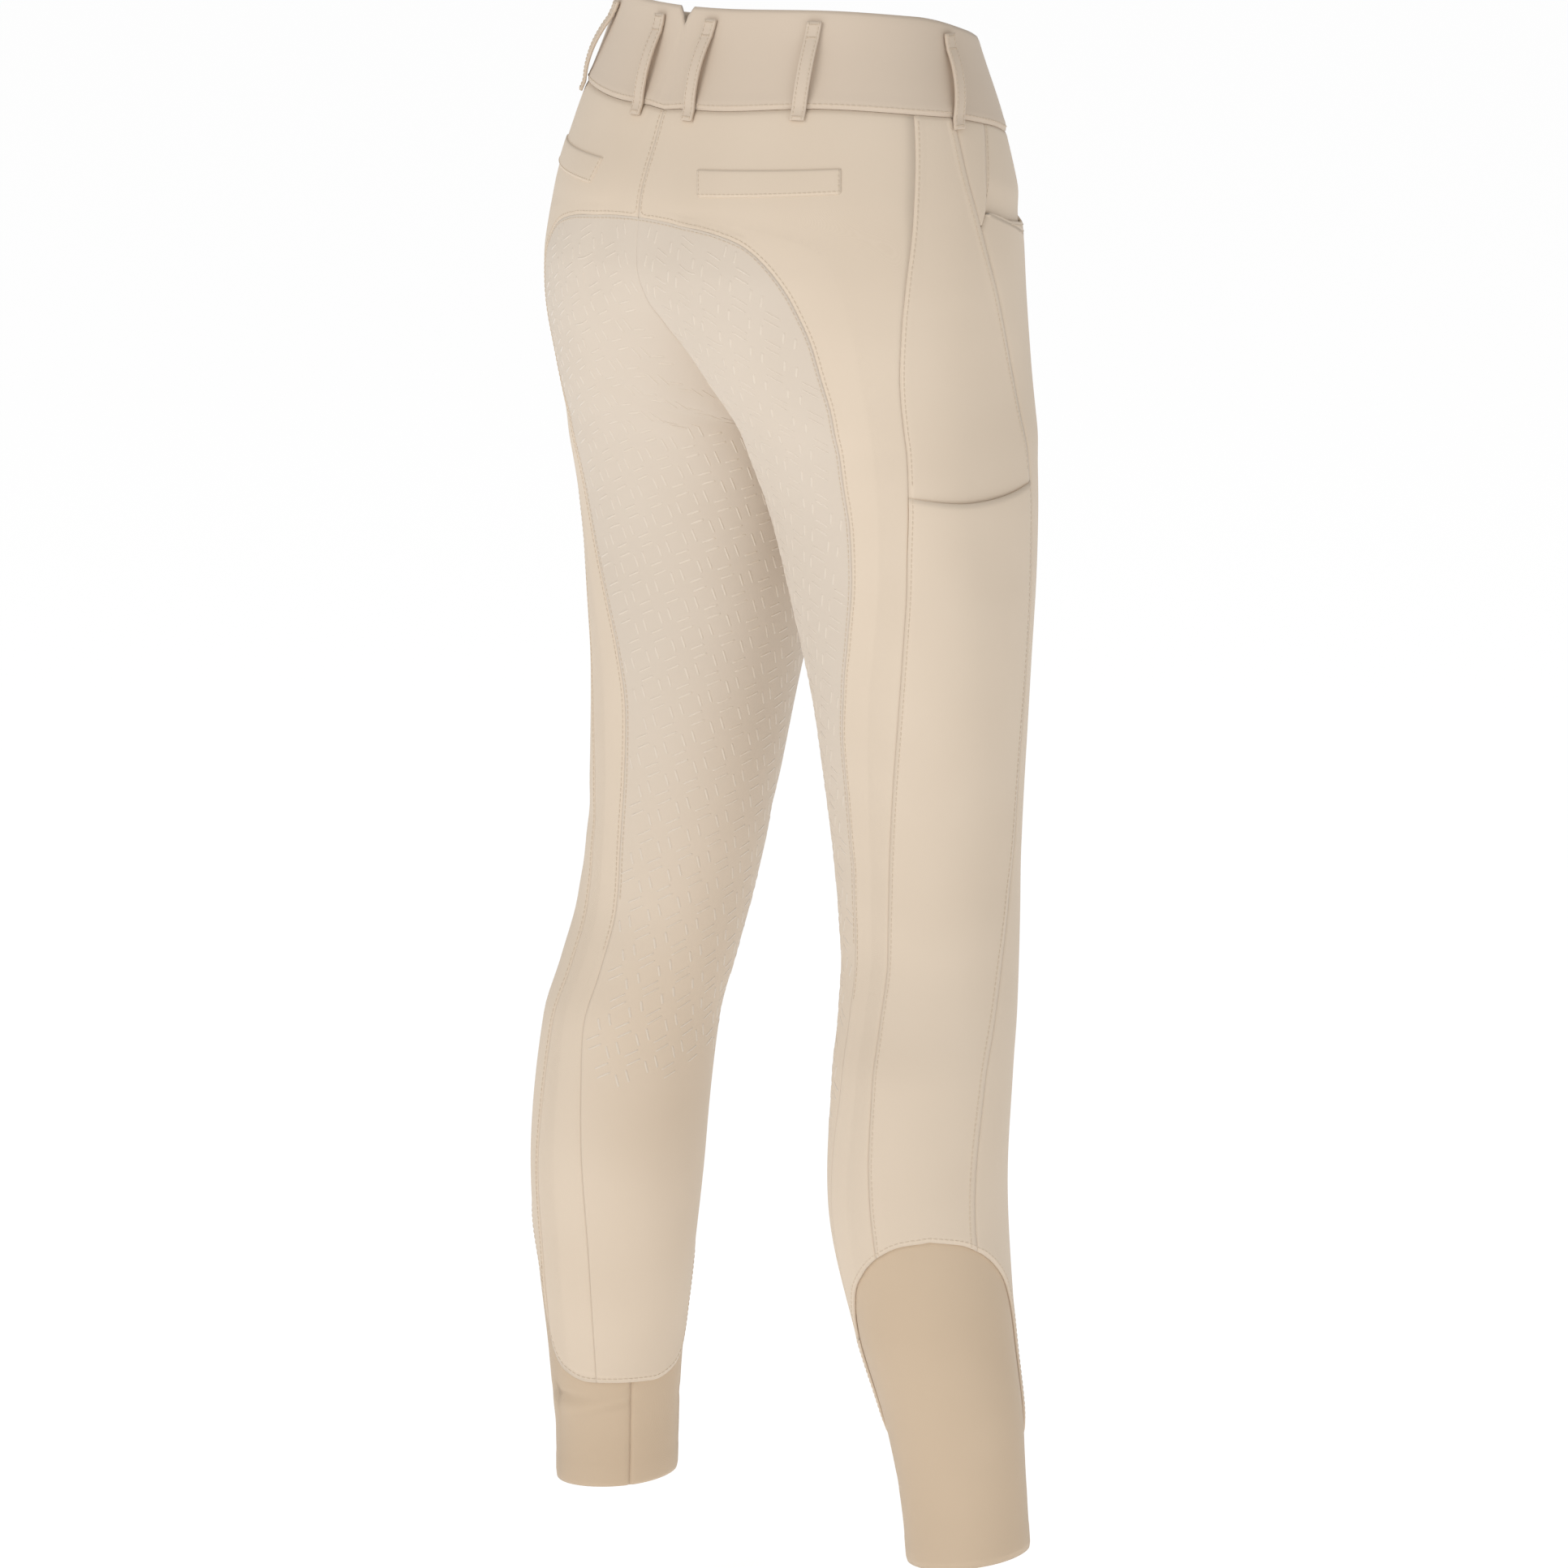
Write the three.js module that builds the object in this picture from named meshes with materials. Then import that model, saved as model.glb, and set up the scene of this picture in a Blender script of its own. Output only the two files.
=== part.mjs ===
// Riding breeches, worn pose, hollow. Millimetres, +Z up.
// The origin is the middle of the waist. The front faces -Y, the wearer's left is +X.
// Each panel is a wall of cloth between its outer surface and the same surface moved in.
// A place on the cloth is given by "around" and z. Around runs from 0 at centre front,
// over the hip at 0.5, to 1 at centre back. On a leg both 0 and 1 are the innermost line.
import * as THREE from "three";

const CLOTH_WALL = 1.4;
const BAND_WALL = 2.4;
const CUFF_WALL = 1.2;
const WELT_WALL = 1.3;
const LOOP_WALL = 1.8;
const SEAM_GAP = 0.3;
const LAYER_GAP = 0.35;
const LAYER_STEP = CLOTH_WALL + LAYER_GAP;
const TUCK_STEP = CLOTH_WALL + 1.2;
const BAND_GAP = 0.65;

// Cross sections. Lobe is the middle of one leg or of one side of the seat, outer is the
// width at the side, inner is the innermost line of a leg. Above the crotch inner is less
// than zero, and the section is cut off at the middle of the body.
const SECTIONS = {
  columns: [
    "z", "lobe", "outer", "innerFront", "innerBack",
    "front", "middle", "back", "roundFront", "roundBack",
  ],
  rows: [
    [25, 0, 120, -400, -400, -91, 0, 84, 2.1, 2.1],
    [-5, 4, 128, -400, -400, -95, 0, 91, 2.1, 2.1],
    [-62, 18, 150, -400, -400, -105, 2, 112, 2.1, 1.95],
    [-105, 34, 161, -340, -390, -107, 4, 127, 2.1, 1.8],
    [-140, 46, 166, -280, -330, -107, 7, 130, 2.05, 1.75],
    [-160, 52, 167, -245, -140, -108, 8, 127, 2.0, 1.75],
    [-178, 58, 167, -215, -60, -108, 9, 122, 2.0, 1.75],
    [-205, 66, 166, -120, -24, -109, 10, 111, 2.0, 1.75],
    [-240, 78, 165, -8, -4, -109, 8, 92, 2.0, 1.85],
    [-250, 81, 165, 0, 0, -109, 7, 86, 2.0, 1.9],
    [-270, 85, 165, 3, 3, -107, 5, 78, 2.0, 2.0],
    [-300, 91, 165, 9, 9, -104, 2, 68, 2.0, 2.0],
    [-350, 97, 167, 19, 19, -96, -4, 58, 2.0, 2.0],
    [-425, 105, 168, 37, 37, -82, -10, 50, 2.0, 2.0],
    [-500, 114, 170, 51, 51, -70, -9, 47, 2.0, 2.0],
    [-565, 123, 176, 65, 65, -61, -3, 49, 2.0, 2.0],
    [-605, 129, 182, 73, 73, -53, 4, 59, 2.0, 2.0],
    [-640, 134, 187, 79, 79, -45, 13, 70, 2.0, 2.0],
    [-720, 138, 191, 84, 84, -37, 20, 78, 2.0, 2.0],
    [-800, 147, 197, 98, 98, -35, 14, 66, 2.0, 2.0],
    [-865, 157, 200, 114, 114, -38, 5, 51, 2.0, 2.0],
    [-930, 161, 199, 124, 124, -39, 1, 41, 2.0, 2.0],
    [-990, 166, 203, 130, 130, -41, -1, 39, 2.0, 2.0],
  ],
};
const FRONT_LOBE = 0.22;
const HIP = 0.5;
const BACK_LOBE = 0.78;

// Top edge of the waistband and its lower seam.
const WAIST = {
  columns: ["around", "top", "seam"],
  rows: [
    [0, -20, -74],
    [0.2, -18, -73],
    [0.3, -13, -69],
    [0.38, -7, -64],
    [0.43, 0, -57],
    [0.52, 12, -47],
    [0.64, 17, -41],
    [0.75, 15, -46],
    [1, 13, -52],
  ],
};
const NOTCH_HALF_WIDTH = 8.5;
const NOTCH_DEPTH = 9.5;

// The rows of cloth from the waistband down. Side is the level at the side seams. The seat
// seam leaves centre back on row 3, runs over the seat and down the back of the leg. The
// seat panel's other edge is centre back down to the crotch on row 12, then the inner seam.
const ROWS = {
  columns: ["side", "seatAround", "seatZ", "backMiddle", "frontMiddle", "innerAround"],
  rows: [
    [-50, 1, -52, -52, -74, 0],
    [-66, 1, -72, -72, -95, 0],
    [-82, 1, -93, -93, -114, 0],
    [-96, 1, -112, -112, -131, 0],
    [-107, 0.92, -112.4, -120, -144, 0],
    [-116, 0.84, -113, -130, -156, 0],
    [-126, 0.77, -114.5, -142, -168, 0],
    [-138, 0.722, -121, -156, -181, 0],
    [-154, 0.695, -135, -171, -194, 0],
    [-176, 0.676, -157, -188, -207, 0],
    [-200, 0.667, -187, -206, -220, 0],
    [-226, 0.67, -218, -226, -235, 0],
    [-252, 0.684, -247, -250, -250, 0],
    [-278, 0.697, -276, -275, -275, 0.03],
    [-305, 0.709, -304, -303, -303, 0.057],
    [-335, 0.725, -334, -334, -334, 0.08],
    [-370, 0.752, -370, -369, -369, 0.095],
    [-405, 0.78, -405, -405, -405, 0.106],
    [-440, 0.795, -440, -440, -440, 0.114],
    [-480, 0.799, -480, -480, -480, 0.12],
    [-520, 0.803, -520, -520, -520, 0.125],
    [-560, 0.812, -560, -560, -560, 0.128],
    [-600, 0.817, -600, -600, -600, 0.13],
    [-640, 0.82, -640, -640, -640, 0.13],
  ],
};
const CORNER_ROW = 3;
const JOINT_ROW = 5;
const CROTCH_ROW = 12;
const SIDE_POCKET_ROW = 13;
const CALF_ROW = 23;
const LAST_ROW = 28;
const CALF_Z = -640;

// Seams that are given by their level.
const SEAMS = {
  backSide: {
    columns: ["z", "around"],
    rows: [
      [-44, 0.545], [-110, 0.555], [-170, 0.57], [-236, 0.5875], [-280, 0.605], [-324, 0.6275],
      [-424, 0.6775], [-526, 0.72], [-614, 0.738], [-678, 0.736], [-740, 0.728], [-870, 0.73],
    ],
  },
  frontSide: {
    columns: ["z", "around"],
    rows: [
      [-44, 0.498], [-82, 0.4925], [-116, 0.479], [-172, 0.445], [-230, 0.4075], [-278, 0.383],
      [-340, 0.381], [-408, 0.395], [-506, 0.422], [-578, 0.465], [-636, 0.49], [-702, 0.506],
      [-870, 0.52],
    ],
  },
  upright: {
    columns: ["z", "around"],
    rows: [[-50, 0.445], [-88, 0.463], [-104, 0.469], [-116, 0.479]],
  },
  seatLow: {
    columns: ["z", "around"],
    rows: [[-600, 0.817], [-640, 0.82], [-682, 0.832], [-760, 0.848], [-880, 0.86]],
  },
  innerLow: { columns: ["z", "around"], rows: [[-640, 0.13], [-760, 0.13], [-880, 0.13]] },
};

// Opening edge of the front pocket, row by row, and the edge of the facing under it.
const FRONT_POCKET = {
  columns: ["row", "around", "z", "underAround", "underZ"],
  rows: [
    [0, 0.225, -73, 0.2, -73],
    [1, 0.242, -93, 0.217, -101],
    [2, 0.285, -110, 0.268, -122],
    [3, 0.35, -120, 0.345, -132],
    [4, 0.43, -114, 0.43, -128],
    [4.6, 0.466, -107, 0.46, -119],
    [5, 0.479, -116, 0.472, -115],
  ],
};
const POCKET_ROWS = [1.5, 2.33, 2.67, 3.33, 3.67, 4.3, 4.6];
const STRIP_LAST_ROW = 4.8;

// Lower edge of the main cloth: an arch on the outer side, lower round the inside. Away is
// the distance around from the arch's middle. The right leg's arch is turned further back.
const ARCH = {
  columns: ["away", "z"],
  rows: [
    [0, -736], [0.06, -739], [0.11, -746], [0.15, -755], [0.19, -768], [0.215, -782],
    [0.235, -797], [0.255, -823], [0.265, -846], [0.28, -860], [0.31, -870], [0.36, -876],
    [0.6, -876],
  ],
};
const ARCH_MIDDLE = { left: 0.41, right: 0.61 };
const ARCH_STRETCH = { left: 1.2, right: 1 };
const HEM_Z = -942.5;
const HEM_TILT = 4;
const HEM_LOW_AROUND = 0.8;
const CUFF_UNDER = 8;
const CUFF_SEAM_AROUND = 0.9325;

const SIDE_POCKET_DIP = 6;
const SIDE_POCKET_TUCK = 14;
const SIDE_POCKET_EASE = 45;

// Back pocket welts: the corners around and up.
const WELT = { inner: 0.755, outer: 0.62, topInner: -80, topOuter: -76, depth: 16, outerDepth: 15 };

// Belt loops: where each sits around the band at its top and its foot.
const LOOPS = {
  columns: ["name", "side", "aroundTop", "aroundFoot"],
  rows: [
    ["back_left", "left", 0.752, 0.77],
    ["back_right", "right", 0.748, 0.768],
    ["hip_left", "left", 0.66, 0.63],
    ["hip_right", "right", 0.64, 0.66],
    ["side_left", "left", 0.475, 0.495],
    ["side_right", "right", 0.475, 0.495],
    ["front_left", "left", 0.27, 0.27],
    ["front_right", "right", 0.27, 0.27],
  ],
};
const LOOP_HALF_WIDTH = 4.5;
const LOOP_BELOW_TOP = 7;
const LOOP_PAST_SEAM = 7;
const LOOP_STAND_OFF = 3.2;

const BAND_OUT = 0.7;
const OVERLAP_AROUND = 0.085;
const OVERLAP_EASE = 0.09;
const FLY = { rightAround: 0.09, leftAround: 0.012, length: 104, gap: 0.8 };
const BUTTON_RADIUS = 8.5;
const BUTTON_THICK = 3;
const BUTTON_AROUND = 0.045;

const CLOTH = new THREE.MeshStandardMaterial({ color: 0xdecfbb, roughness: 0.85, metalness: 0 });
const GRIP = new THREE.MeshStandardMaterial({ color: 0xdacab4, roughness: 0.8, metalness: 0 });
const CUFF = new THREE.MeshStandardMaterial({ color: 0xcdbca5, roughness: 0.8, metalness: 0 });
const BUTTON = new THREE.MeshStandardMaterial({ color: 0xb09a7d, roughness: 0.4, metalness: 0 });

// A smooth curve through a table's points that never overshoots them.
function smoothCurve(keys, values) {
  const order = keys.map((_, i) => i).sort((p, q) => keys[p] - keys[q]);
  const x = order.map((i) => keys[i]);
  const y = order.map((i) => values[i]);
  const count = x.length;
  const slope = [];
  for (let i = 0; i < count - 1; i++) slope.push((y[i + 1] - y[i]) / (x[i + 1] - x[i]));
  const tangent = [slope[0]];
  for (let i = 1; i < count - 1; i++) {
    const same = slope[i - 1] * slope[i] > 0;
    tangent.push(same ? (2 * slope[i - 1] * slope[i]) / (slope[i - 1] + slope[i]) : 0);
  }
  tangent.push(slope[count - 2]);
  return (at) => {
    const clamped = Math.min(Math.max(at, x[0]), x[count - 1]);
    let i = 0;
    while (i < count - 2 && clamped > x[i + 1]) i++;
    const step = x[i + 1] - x[i];
    const t = (clamped - x[i]) / step;
    const t2 = t * t;
    const t3 = t2 * t;
    return (
      (2 * t3 - 3 * t2 + 1) * y[i] + (t3 - 2 * t2 + t) * step * tangent[i] +
      (3 * t2 - 2 * t3) * y[i + 1] + (t3 - t2) * step * tangent[i + 1]
    );
  };
}

function tableCurve(table, key, value) {
  const keyAt = table.columns.indexOf(key);
  const valueAt = table.columns.indexOf(value);
  return smoothCurve(table.rows.map((row) => row[keyAt]), table.rows.map((row) => row[valueAt]));
}

function rowCurve(name) {
  const at = ROWS.columns.indexOf(name);
  return smoothCurve(ROWS.rows.map((_, i) => i), ROWS.rows.map((row) => row[at]));
}

const section = {};
for (const name of SECTIONS.columns.slice(1)) section[name] = tableCurve(SECTIONS, "z", name);
const bandTop = tableCurve(WAIST, "around", "top");
const bandSeam = tableCurve(WAIST, "around", "seam");
const rowAt = {};
for (const name of ROWS.columns) rowAt[name] = rowCurve(name);
const seamAround = {};
for (const name of Object.keys(SEAMS)) seamAround[name] = tableCurve(SEAMS[name], "z", "around");
const archZ = tableCurve(ARCH, "away", "z");
const pocket = {};
for (const name of FRONT_POCKET.columns.slice(1)) pocket[name] = tableCurve(FRONT_POCKET, "row", name);

const pocketLine = tableCurve(FRONT_POCKET, "around", "z");

const mix = (p, q, t) => p + (q - p) * t;
const clamp01 = (t) => Math.min(Math.max(t, 0), 1);
const ease = (t) => clamp01(t) ** 2 * (3 - 2 * clamp01(t));

function quarter(angle, round) {
  const c = Math.abs(Math.cos(angle));
  const s = Math.abs(Math.sin(angle));
  const r = (c ** round + s ** round) ** (-1 / round);
  return [r * c, r * s];
}

// The inner quarter of a section, from the lobe to the innermost line or the body's middle.
function innerArc(part, inner, far, z) {
  const lobe = section.lobe(z);
  const reach = lobe - inner;
  const end = inner < 0 ? Math.asin(Math.min(lobe / reach, 1)) : Math.PI / 2;
  const angle = part * end;
  return [lobe - reach * Math.sin(angle), mix(section.middle(z), far, Math.cos(angle))];
}

function plainPoint(around, z) {
  const a = around > 1 ? around - 1 : around;
  const lobe = section.lobe(z);
  const width = section.outer(z) - lobe;
  const middle = section.middle(z);
  if (a < FRONT_LOBE) {
    return innerArc(1 - a / FRONT_LOBE, section.innerFront(z), section.front(z), z);
  }
  if (a > BACK_LOBE) {
    return innerArc((a - BACK_LOBE) / (1 - BACK_LOBE), section.innerBack(z), section.back(z), z);
  }
  if (a < HIP) {
    const turn = ((a - FRONT_LOBE) / (HIP - FRONT_LOBE)) * (Math.PI / 2);
    const [c, s] = quarter(turn, section.roundFront(z));
    return [lobe + width * s, mix(middle, section.front(z), c)];
  }
  const turn = ((BACK_LOBE - a) / (BACK_LOBE - HIP)) * (Math.PI / 2);
  const [c, s] = quarter(turn, section.roundBack(z));
  return [lobe + width * s, mix(middle, section.back(z), c)];
}

// A point of the left half's outer surface, moved out along its normal. A negative around
// lies on the right half, which is the mirror image.
function clothPoint(around, z, out) {
  if (around < 0) {
    const mirrored = clothPoint(-around, z, out);
    mirrored.x = -mirrored.x;
    return mirrored;
  }
  const low = z > CROTCH_Z ? Math.max(around - 0.002, 0) : around - 0.002 + (around < 0.002 ? 1 : 0);
  const high = z > CROTCH_Z ? Math.min(around + 0.002, 1) : around + 0.002;
  const [x, y] = plainPoint(around, z);
  const [xl, yl] = plainPoint(low, z);
  const [xh, yh] = plainPoint(high, z);
  const [xu, yu] = plainPoint(around, z + 1);
  const [xd, yd] = plainPoint(around, z - 1);
  const along = new THREE.Vector3(xh - xl, yh - yl, 0);
  const up = new THREE.Vector3(xu - xd, yu - yd, 2);
  const normal = along.cross(up).normalize();
  return new THREE.Vector3(x, y, z).addScaledVector(normal, out);
}
const CROTCH_Z = -250;

function edgeZ(side, around) {
  const away = Math.abs((around > 1 ? around - 1 : around) - ARCH_MIDDLE[side]);
  return archZ(Math.min(away, 1 - away) / ARCH_STRETCH[side]);
}

function hemZ(around) {
  return HEM_Z - HEM_TILT * Math.cos(2 * Math.PI * (around - HEM_LOW_AROUND));
}

// Where a seam that runs down the leg meets the cloth's lower edge.
function seamEnd(side, aroundAt, shift) {
  let z = CALF_Z;
  while (z > edgeZ(side, aroundAt(z) + shift)) z -= 0.25;
  return z;
}

// Every seam is a function of the row that gives [around, z].
function sideSeam(side, name) {
  const end = seamEnd(side, seamAround[name], 0);
  return (row) => {
    if (row > CALF_ROW) {
      const z = mix(CALF_Z, end, (row - CALF_ROW) / (LAST_ROW - CALF_ROW));
      return [seamAround[name](z), z];
    }
    const z = row < 1 ? mix(bandSeam(seamAround[name](-50)), rowAt.side(1), row) : rowAt.side(row);
    return [seamAround[name](z), z];
  };
}

function seatSeam(side) {
  const end = seamEnd(side, seamAround.seatLow, 0);
  return (row) => {
    if (row <= CALF_ROW) return [rowAt.seatAround(row), rowAt.seatZ(row)];
    const z = mix(CALF_Z, end, (row - CALF_ROW) / (LAST_ROW - CALF_ROW));
    return [seamAround.seatLow(z), z];
  };
}

function innerSeam(side, turn, middleName) {
  const end = seamEnd(side, seamAround.innerLow, 0);
  return (row) => {
    if (row <= CROTCH_ROW) return [turn, rowAt[middleName](row)];
    if (row <= CALF_ROW) return [turn + rowAt.innerAround(row), rowAt[middleName](row)];
    const z = mix(CALF_Z, end, (row - CALF_ROW) / (LAST_ROW - CALF_ROW));
    return [turn + seamAround.innerLow(z), z];
  };
}

function frontOuterSeam(side) {
  const seam = sideSeam(side, "frontSide");
  return (row) => (row < JOINT_ROW ? [pocket.around(row), pocket.z(row)] : seam(row));
}

function rowsBetween(first, last, extra = []) {
  const rows = [first, last, ...extra];
  for (let row = Math.ceil(first + 0.3); row < last - 0.2; row++) rows.push(row);
  return [...new Set(rows)].sort((p, q) => p - q);
}

// A closed wall between two grids of points, outer[i][j] and inner[i][j].
function wallGeometry(outer, inner) {
  const rows = outer.length;
  const columns = outer[0].length;
  const points = [...outer.flat(), ...inner.flat()];
  const outerAt = (i, j) => i * columns + j;
  const innerAt = (i, j) => rows * columns + i * columns + j;
  const faces = [];
  const quad = (p, q, r, s) => faces.push([p, q, r], [p, r, s]);
  for (let i = 0; i < rows - 1; i++) {
    for (let j = 0; j < columns - 1; j++) {
      quad(outerAt(i, j), outerAt(i + 1, j), outerAt(i + 1, j + 1), outerAt(i, j + 1));
      quad(innerAt(i, j), innerAt(i, j + 1), innerAt(i + 1, j + 1), innerAt(i + 1, j));
    }
    quad(outerAt(i, 0), innerAt(i, 0), innerAt(i + 1, 0), outerAt(i + 1, 0));
    const last = columns - 1;
    quad(outerAt(i, last), outerAt(i + 1, last), innerAt(i + 1, last), innerAt(i, last));
  }
  for (let j = 0; j < columns - 1; j++) {
    quad(outerAt(0, j), outerAt(0, j + 1), innerAt(0, j + 1), innerAt(0, j));
    const last = rows - 1;
    quad(outerAt(last, j), innerAt(last, j), innerAt(last, j + 1), outerAt(last, j + 1));
  }
  const volume = faces.reduce((sum, [p, q, r]) => {
    const cross = points[q].clone().cross(points[r]);
    return sum + points[p].dot(cross) / 6;
  }, 0);
  const geometry = new THREE.BufferGeometry();
  const flat = points.flatMap((point) => [point.x, point.y, point.z]);
  geometry.setAttribute("position", new THREE.Float32BufferAttribute(flat, 3));
  geometry.setIndex(faces.flatMap(([p, q, r]) => (volume > 0 ? [p, q, r] : [p, r, q])));
  geometry.computeVertexNormals();
  return geometry;
}

function mirror(grid) {
  return grid.map((row) => row.map((point) => new THREE.Vector3(-point.x, point.y, point.z)));
}

const group = new THREE.Group();

function addWall(name, side, material, outer, inner) {
  const isRight = side === "right";
  const geometry = wallGeometry(isRight ? mirror(outer) : outer, isRight ? mirror(inner) : inner);
  const mesh = new THREE.Mesh(geometry, material);
  mesh.name = name;
  group.add(mesh);
}

// Pulls the two side edges of a grid in by half the seam gap, square to the edge.
function openSeams(grid) {
  const last = grid[0].length - 1;
  for (const [edge, next] of [[0, 1], [last, last - 1]]) {
    const moves = grid.map((row, i) => {
      const before = grid[Math.max(i - 1, 0)][edge];
      const after = grid[Math.min(i + 1, grid.length - 1)][edge];
      const along = after.clone().sub(before).normalize();
      const away = row[next].clone().sub(row[edge]);
      away.addScaledVector(along, -away.dot(along)).normalize();
      return away.multiplyScalar(SEAM_GAP / 2);
    });
    grid.forEach((row, i) => row[edge].add(moves[i]));
  }
}

// A panel between two seams. Top and foot give the level of its end edges where those are
// curves, bow bends its rows, and lift gives how far its outer surface is moved out.
function addPanel(spec) {
  const { name, side, left, right, rows, columns, top, foot, lift, material } = spec;
  const bow = spec.bow ?? (() => 1);
  const first = rows[0];
  const last = rows[rows.length - 1];
  const layer = (depth) => rows.map((row) => {
    const [leftAround, leftZ] = left(row);
    const [rightAround, rightZ] = right(row);
    const points = [];
    for (let j = 0; j <= columns; j++) {
      const part = j / columns;
      const around = mix(leftAround, rightAround, part);
      let z = mix(leftZ, rightZ, part ** bow(row));
      if (top) {
        const line = mix(left(first)[1], right(first)[1], part ** bow(first));
        z += (top(around, part) - line) * (1 - ease((row - first) / 3));
      }
      if (foot) {
        const line = mix(left(last)[1], right(last)[1], part);
        z += (foot(around, part) - line) * ease((row - last + 5) / 5);
      }
      if (top && row === first) z -= BAND_GAP / 2;
      const out = lift ? lift(around, z, row) : 0;
      points.push(clothPoint(around, z, out - depth));
    }
    return points;
  });
  const outer = layer(0);
  const inner = layer(CLOTH_WALL);
  openSeams(outer);
  openSeams(inner);
  addWall(name, side, material ?? CLOTH, outer, inner);
}

function addBackPanel(side) {
  const edge = (around) => edgeZ(side, around);
  addPanel({
    name: `back_${side}`, side, left: sideSeam(side, "backSide"), right: seatSeam(side),
    rows: rowsBetween(0, LAST_ROW), columns: 8, top: bandSeam, foot: edge,
  });
}

function addSeatPanel(side) {
  const edge = (around) => edgeZ(side, around);
  addPanel({
    name: `seat_${side}`, side, left: seatSeam(side), right: innerSeam(side, 1, "backMiddle"),
    rows: rowsBetween(CORNER_ROW + 0.12, LAST_ROW), columns: 12, foot: edge, material: GRIP,
  });
}

function sidePocketZ(around, part) {
  return rowAt.side(SIDE_POCKET_ROW) - SIDE_POCKET_DIP * Math.sin(Math.PI * part);
}

function addSidePanels(side) {
  const seams = { left: sideSeam(side, "frontSide"), right: sideSeam(side, "backSide") };
  const level = rowAt.side(SIDE_POCKET_ROW);
  const step = rowAt.side(SIDE_POCKET_ROW) - rowAt.side(SIDE_POCKET_ROW + 1);
  const tuckRow = SIDE_POCKET_ROW + SIDE_POCKET_TUCK / step;
  addPanel({
    name: `side_upper_${side}`, side, ...seams, rows: rowsBetween(0, tuckRow), columns: 8,
    top: bandSeam, foot: (around, part) => sidePocketZ(around, part) - SIDE_POCKET_TUCK,
  });
  addPanel({
    name: `side_lower_${side}`, side, ...seams, rows: rowsBetween(SIDE_POCKET_ROW, LAST_ROW),
    columns: 8, top: sidePocketZ, foot: (around) => edgeZ(side, around),
    lift: (around, z) => {
      const below = level - SIDE_POCKET_DIP - SIDE_POCKET_TUCK - z;
      return LAYER_STEP * (1 - ease(below / SIDE_POCKET_EASE));
    },
  });
}

function addFrontPanel(side) {
  addPanel({
    name: `front_${side}`, side, left: innerSeam(side, 0, "frontMiddle"),
    right: frontOuterSeam(side), rows: rowsBetween(0, LAST_ROW, POCKET_ROWS), columns: 13,
    top: bandSeam, foot: (around) => edgeZ(side, around),
    bow: (row) => 1 + 1.4 * ease((JOINT_ROW + 5 - row) / 5),
  });
}

function addHipPieces(side) {
  const upright = (row) => {
    const z = row < 1 ? mix(bandSeam(seamAround.upright(-50)), rowAt.side(1), row) : rowAt.side(row);
    return [seamAround.upright(z), z];
  };
  const rows = rowsBetween(0, STRIP_LAST_ROW);
  addPanel({
    name: `hip_strip_${side}`, side, left: upright, right: sideSeam(side, "frontSide"),
    rows, columns: 3, top: bandSeam,
  });
  const under = (row) => [pocket.underAround(row), pocket.underZ(row)];
  addPanel({
    name: `hip_facing_${side}`, side, left: under, right: upright, rows, columns: 9,
    top: bandSeam, lift: (around, z) => {
      const opening = pocketEdgeDistance(around, z);
      return -TUCK_STEP * (1 - ease((opening - 3) / 20));
    },
  });
}

// How far a place on the hip facing lies above the front pocket's opening edge.
function pocketEdgeDistance(around, z) {
  const [hereX, hereY] = plainPoint(around, z);
  let nearest = Infinity;
  for (let row = 0; row <= JOINT_ROW; row += 0.1) {
    const [edgeX, edgeY] = plainPoint(pocket.around(row), pocket.z(row));
    nearest = Math.min(nearest, Math.hypot(edgeX - hereX, edgeY - hereY, pocket.z(row) - z));
  }
  const isBelow = around < pocket.around(0) || z < pocketLine(around);
  return isBelow ? -nearest : nearest;
}

function addWelt(side) {
  const layer = (out) => {
    const grid = [];
    for (let i = 0; i <= 2; i++) {
      const points = [];
      for (let j = 0; j <= 8; j++) {
        const part = j / 8;
        const top = mix(WELT.topInner, WELT.topOuter, part);
        const depth = mix(WELT.depth, WELT.outerDepth, part);
        points.push(clothPoint(mix(WELT.inner, WELT.outer, part), top - (depth * i) / 2, out));
      }
      grid.push(points);
    }
    return grid;
  };
  addWall(`welt_${side}`, side, CLOTH, layer(LAYER_GAP + WELT_WALL), layer(LAYER_GAP));
}

function addCuff(side) {
  const rows = 7;
  const columns = 36;
  const out = -TUCK_STEP;
  const layer = (depth) => {
    const grid = [];
    for (let i = 0; i <= rows; i++) {
      const points = [];
      for (let j = 0; j <= columns; j++) {
        const turned = CUFF_SEAM_AROUND + j / columns;
        const around = turned > 1 ? turned - 1 : turned;
        const z = mix(edgeZ(side, around) + CUFF_UNDER, hemZ(around), i / rows);
        points.push(clothPoint(around, z, out - depth));
      }
      grid.push(points);
    }
    openSeams(grid);
    return grid;
  };
  addWall(`cuff_${side}`, side, CUFF, layer(0), layer(CUFF_WALL));
}

// Levels along the waistband, from the covered left end round the back to the overlap.
function bandStations() {
  const stations = [];
  const push = (part, around) => stations.push({ part, around });
  const steps = 30;
  for (let i = 0; i < steps; i++) push("left", mix(0.004, 0.955, i / steps));
  for (const around of [0.955, 0.968, 0.98, 0.99, 1]) push("left", around);
  for (const around of [0.99, 0.98, 0.968, 0.955]) push("right", around);
  for (let i = 1; i <= steps; i++) push("right", mix(0.955, 0.004, i / steps));
  for (let i = 0; i <= 4; i++) push("over", mix(0, OVERLAP_AROUND, i / 4));
  return stations;
}

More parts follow.
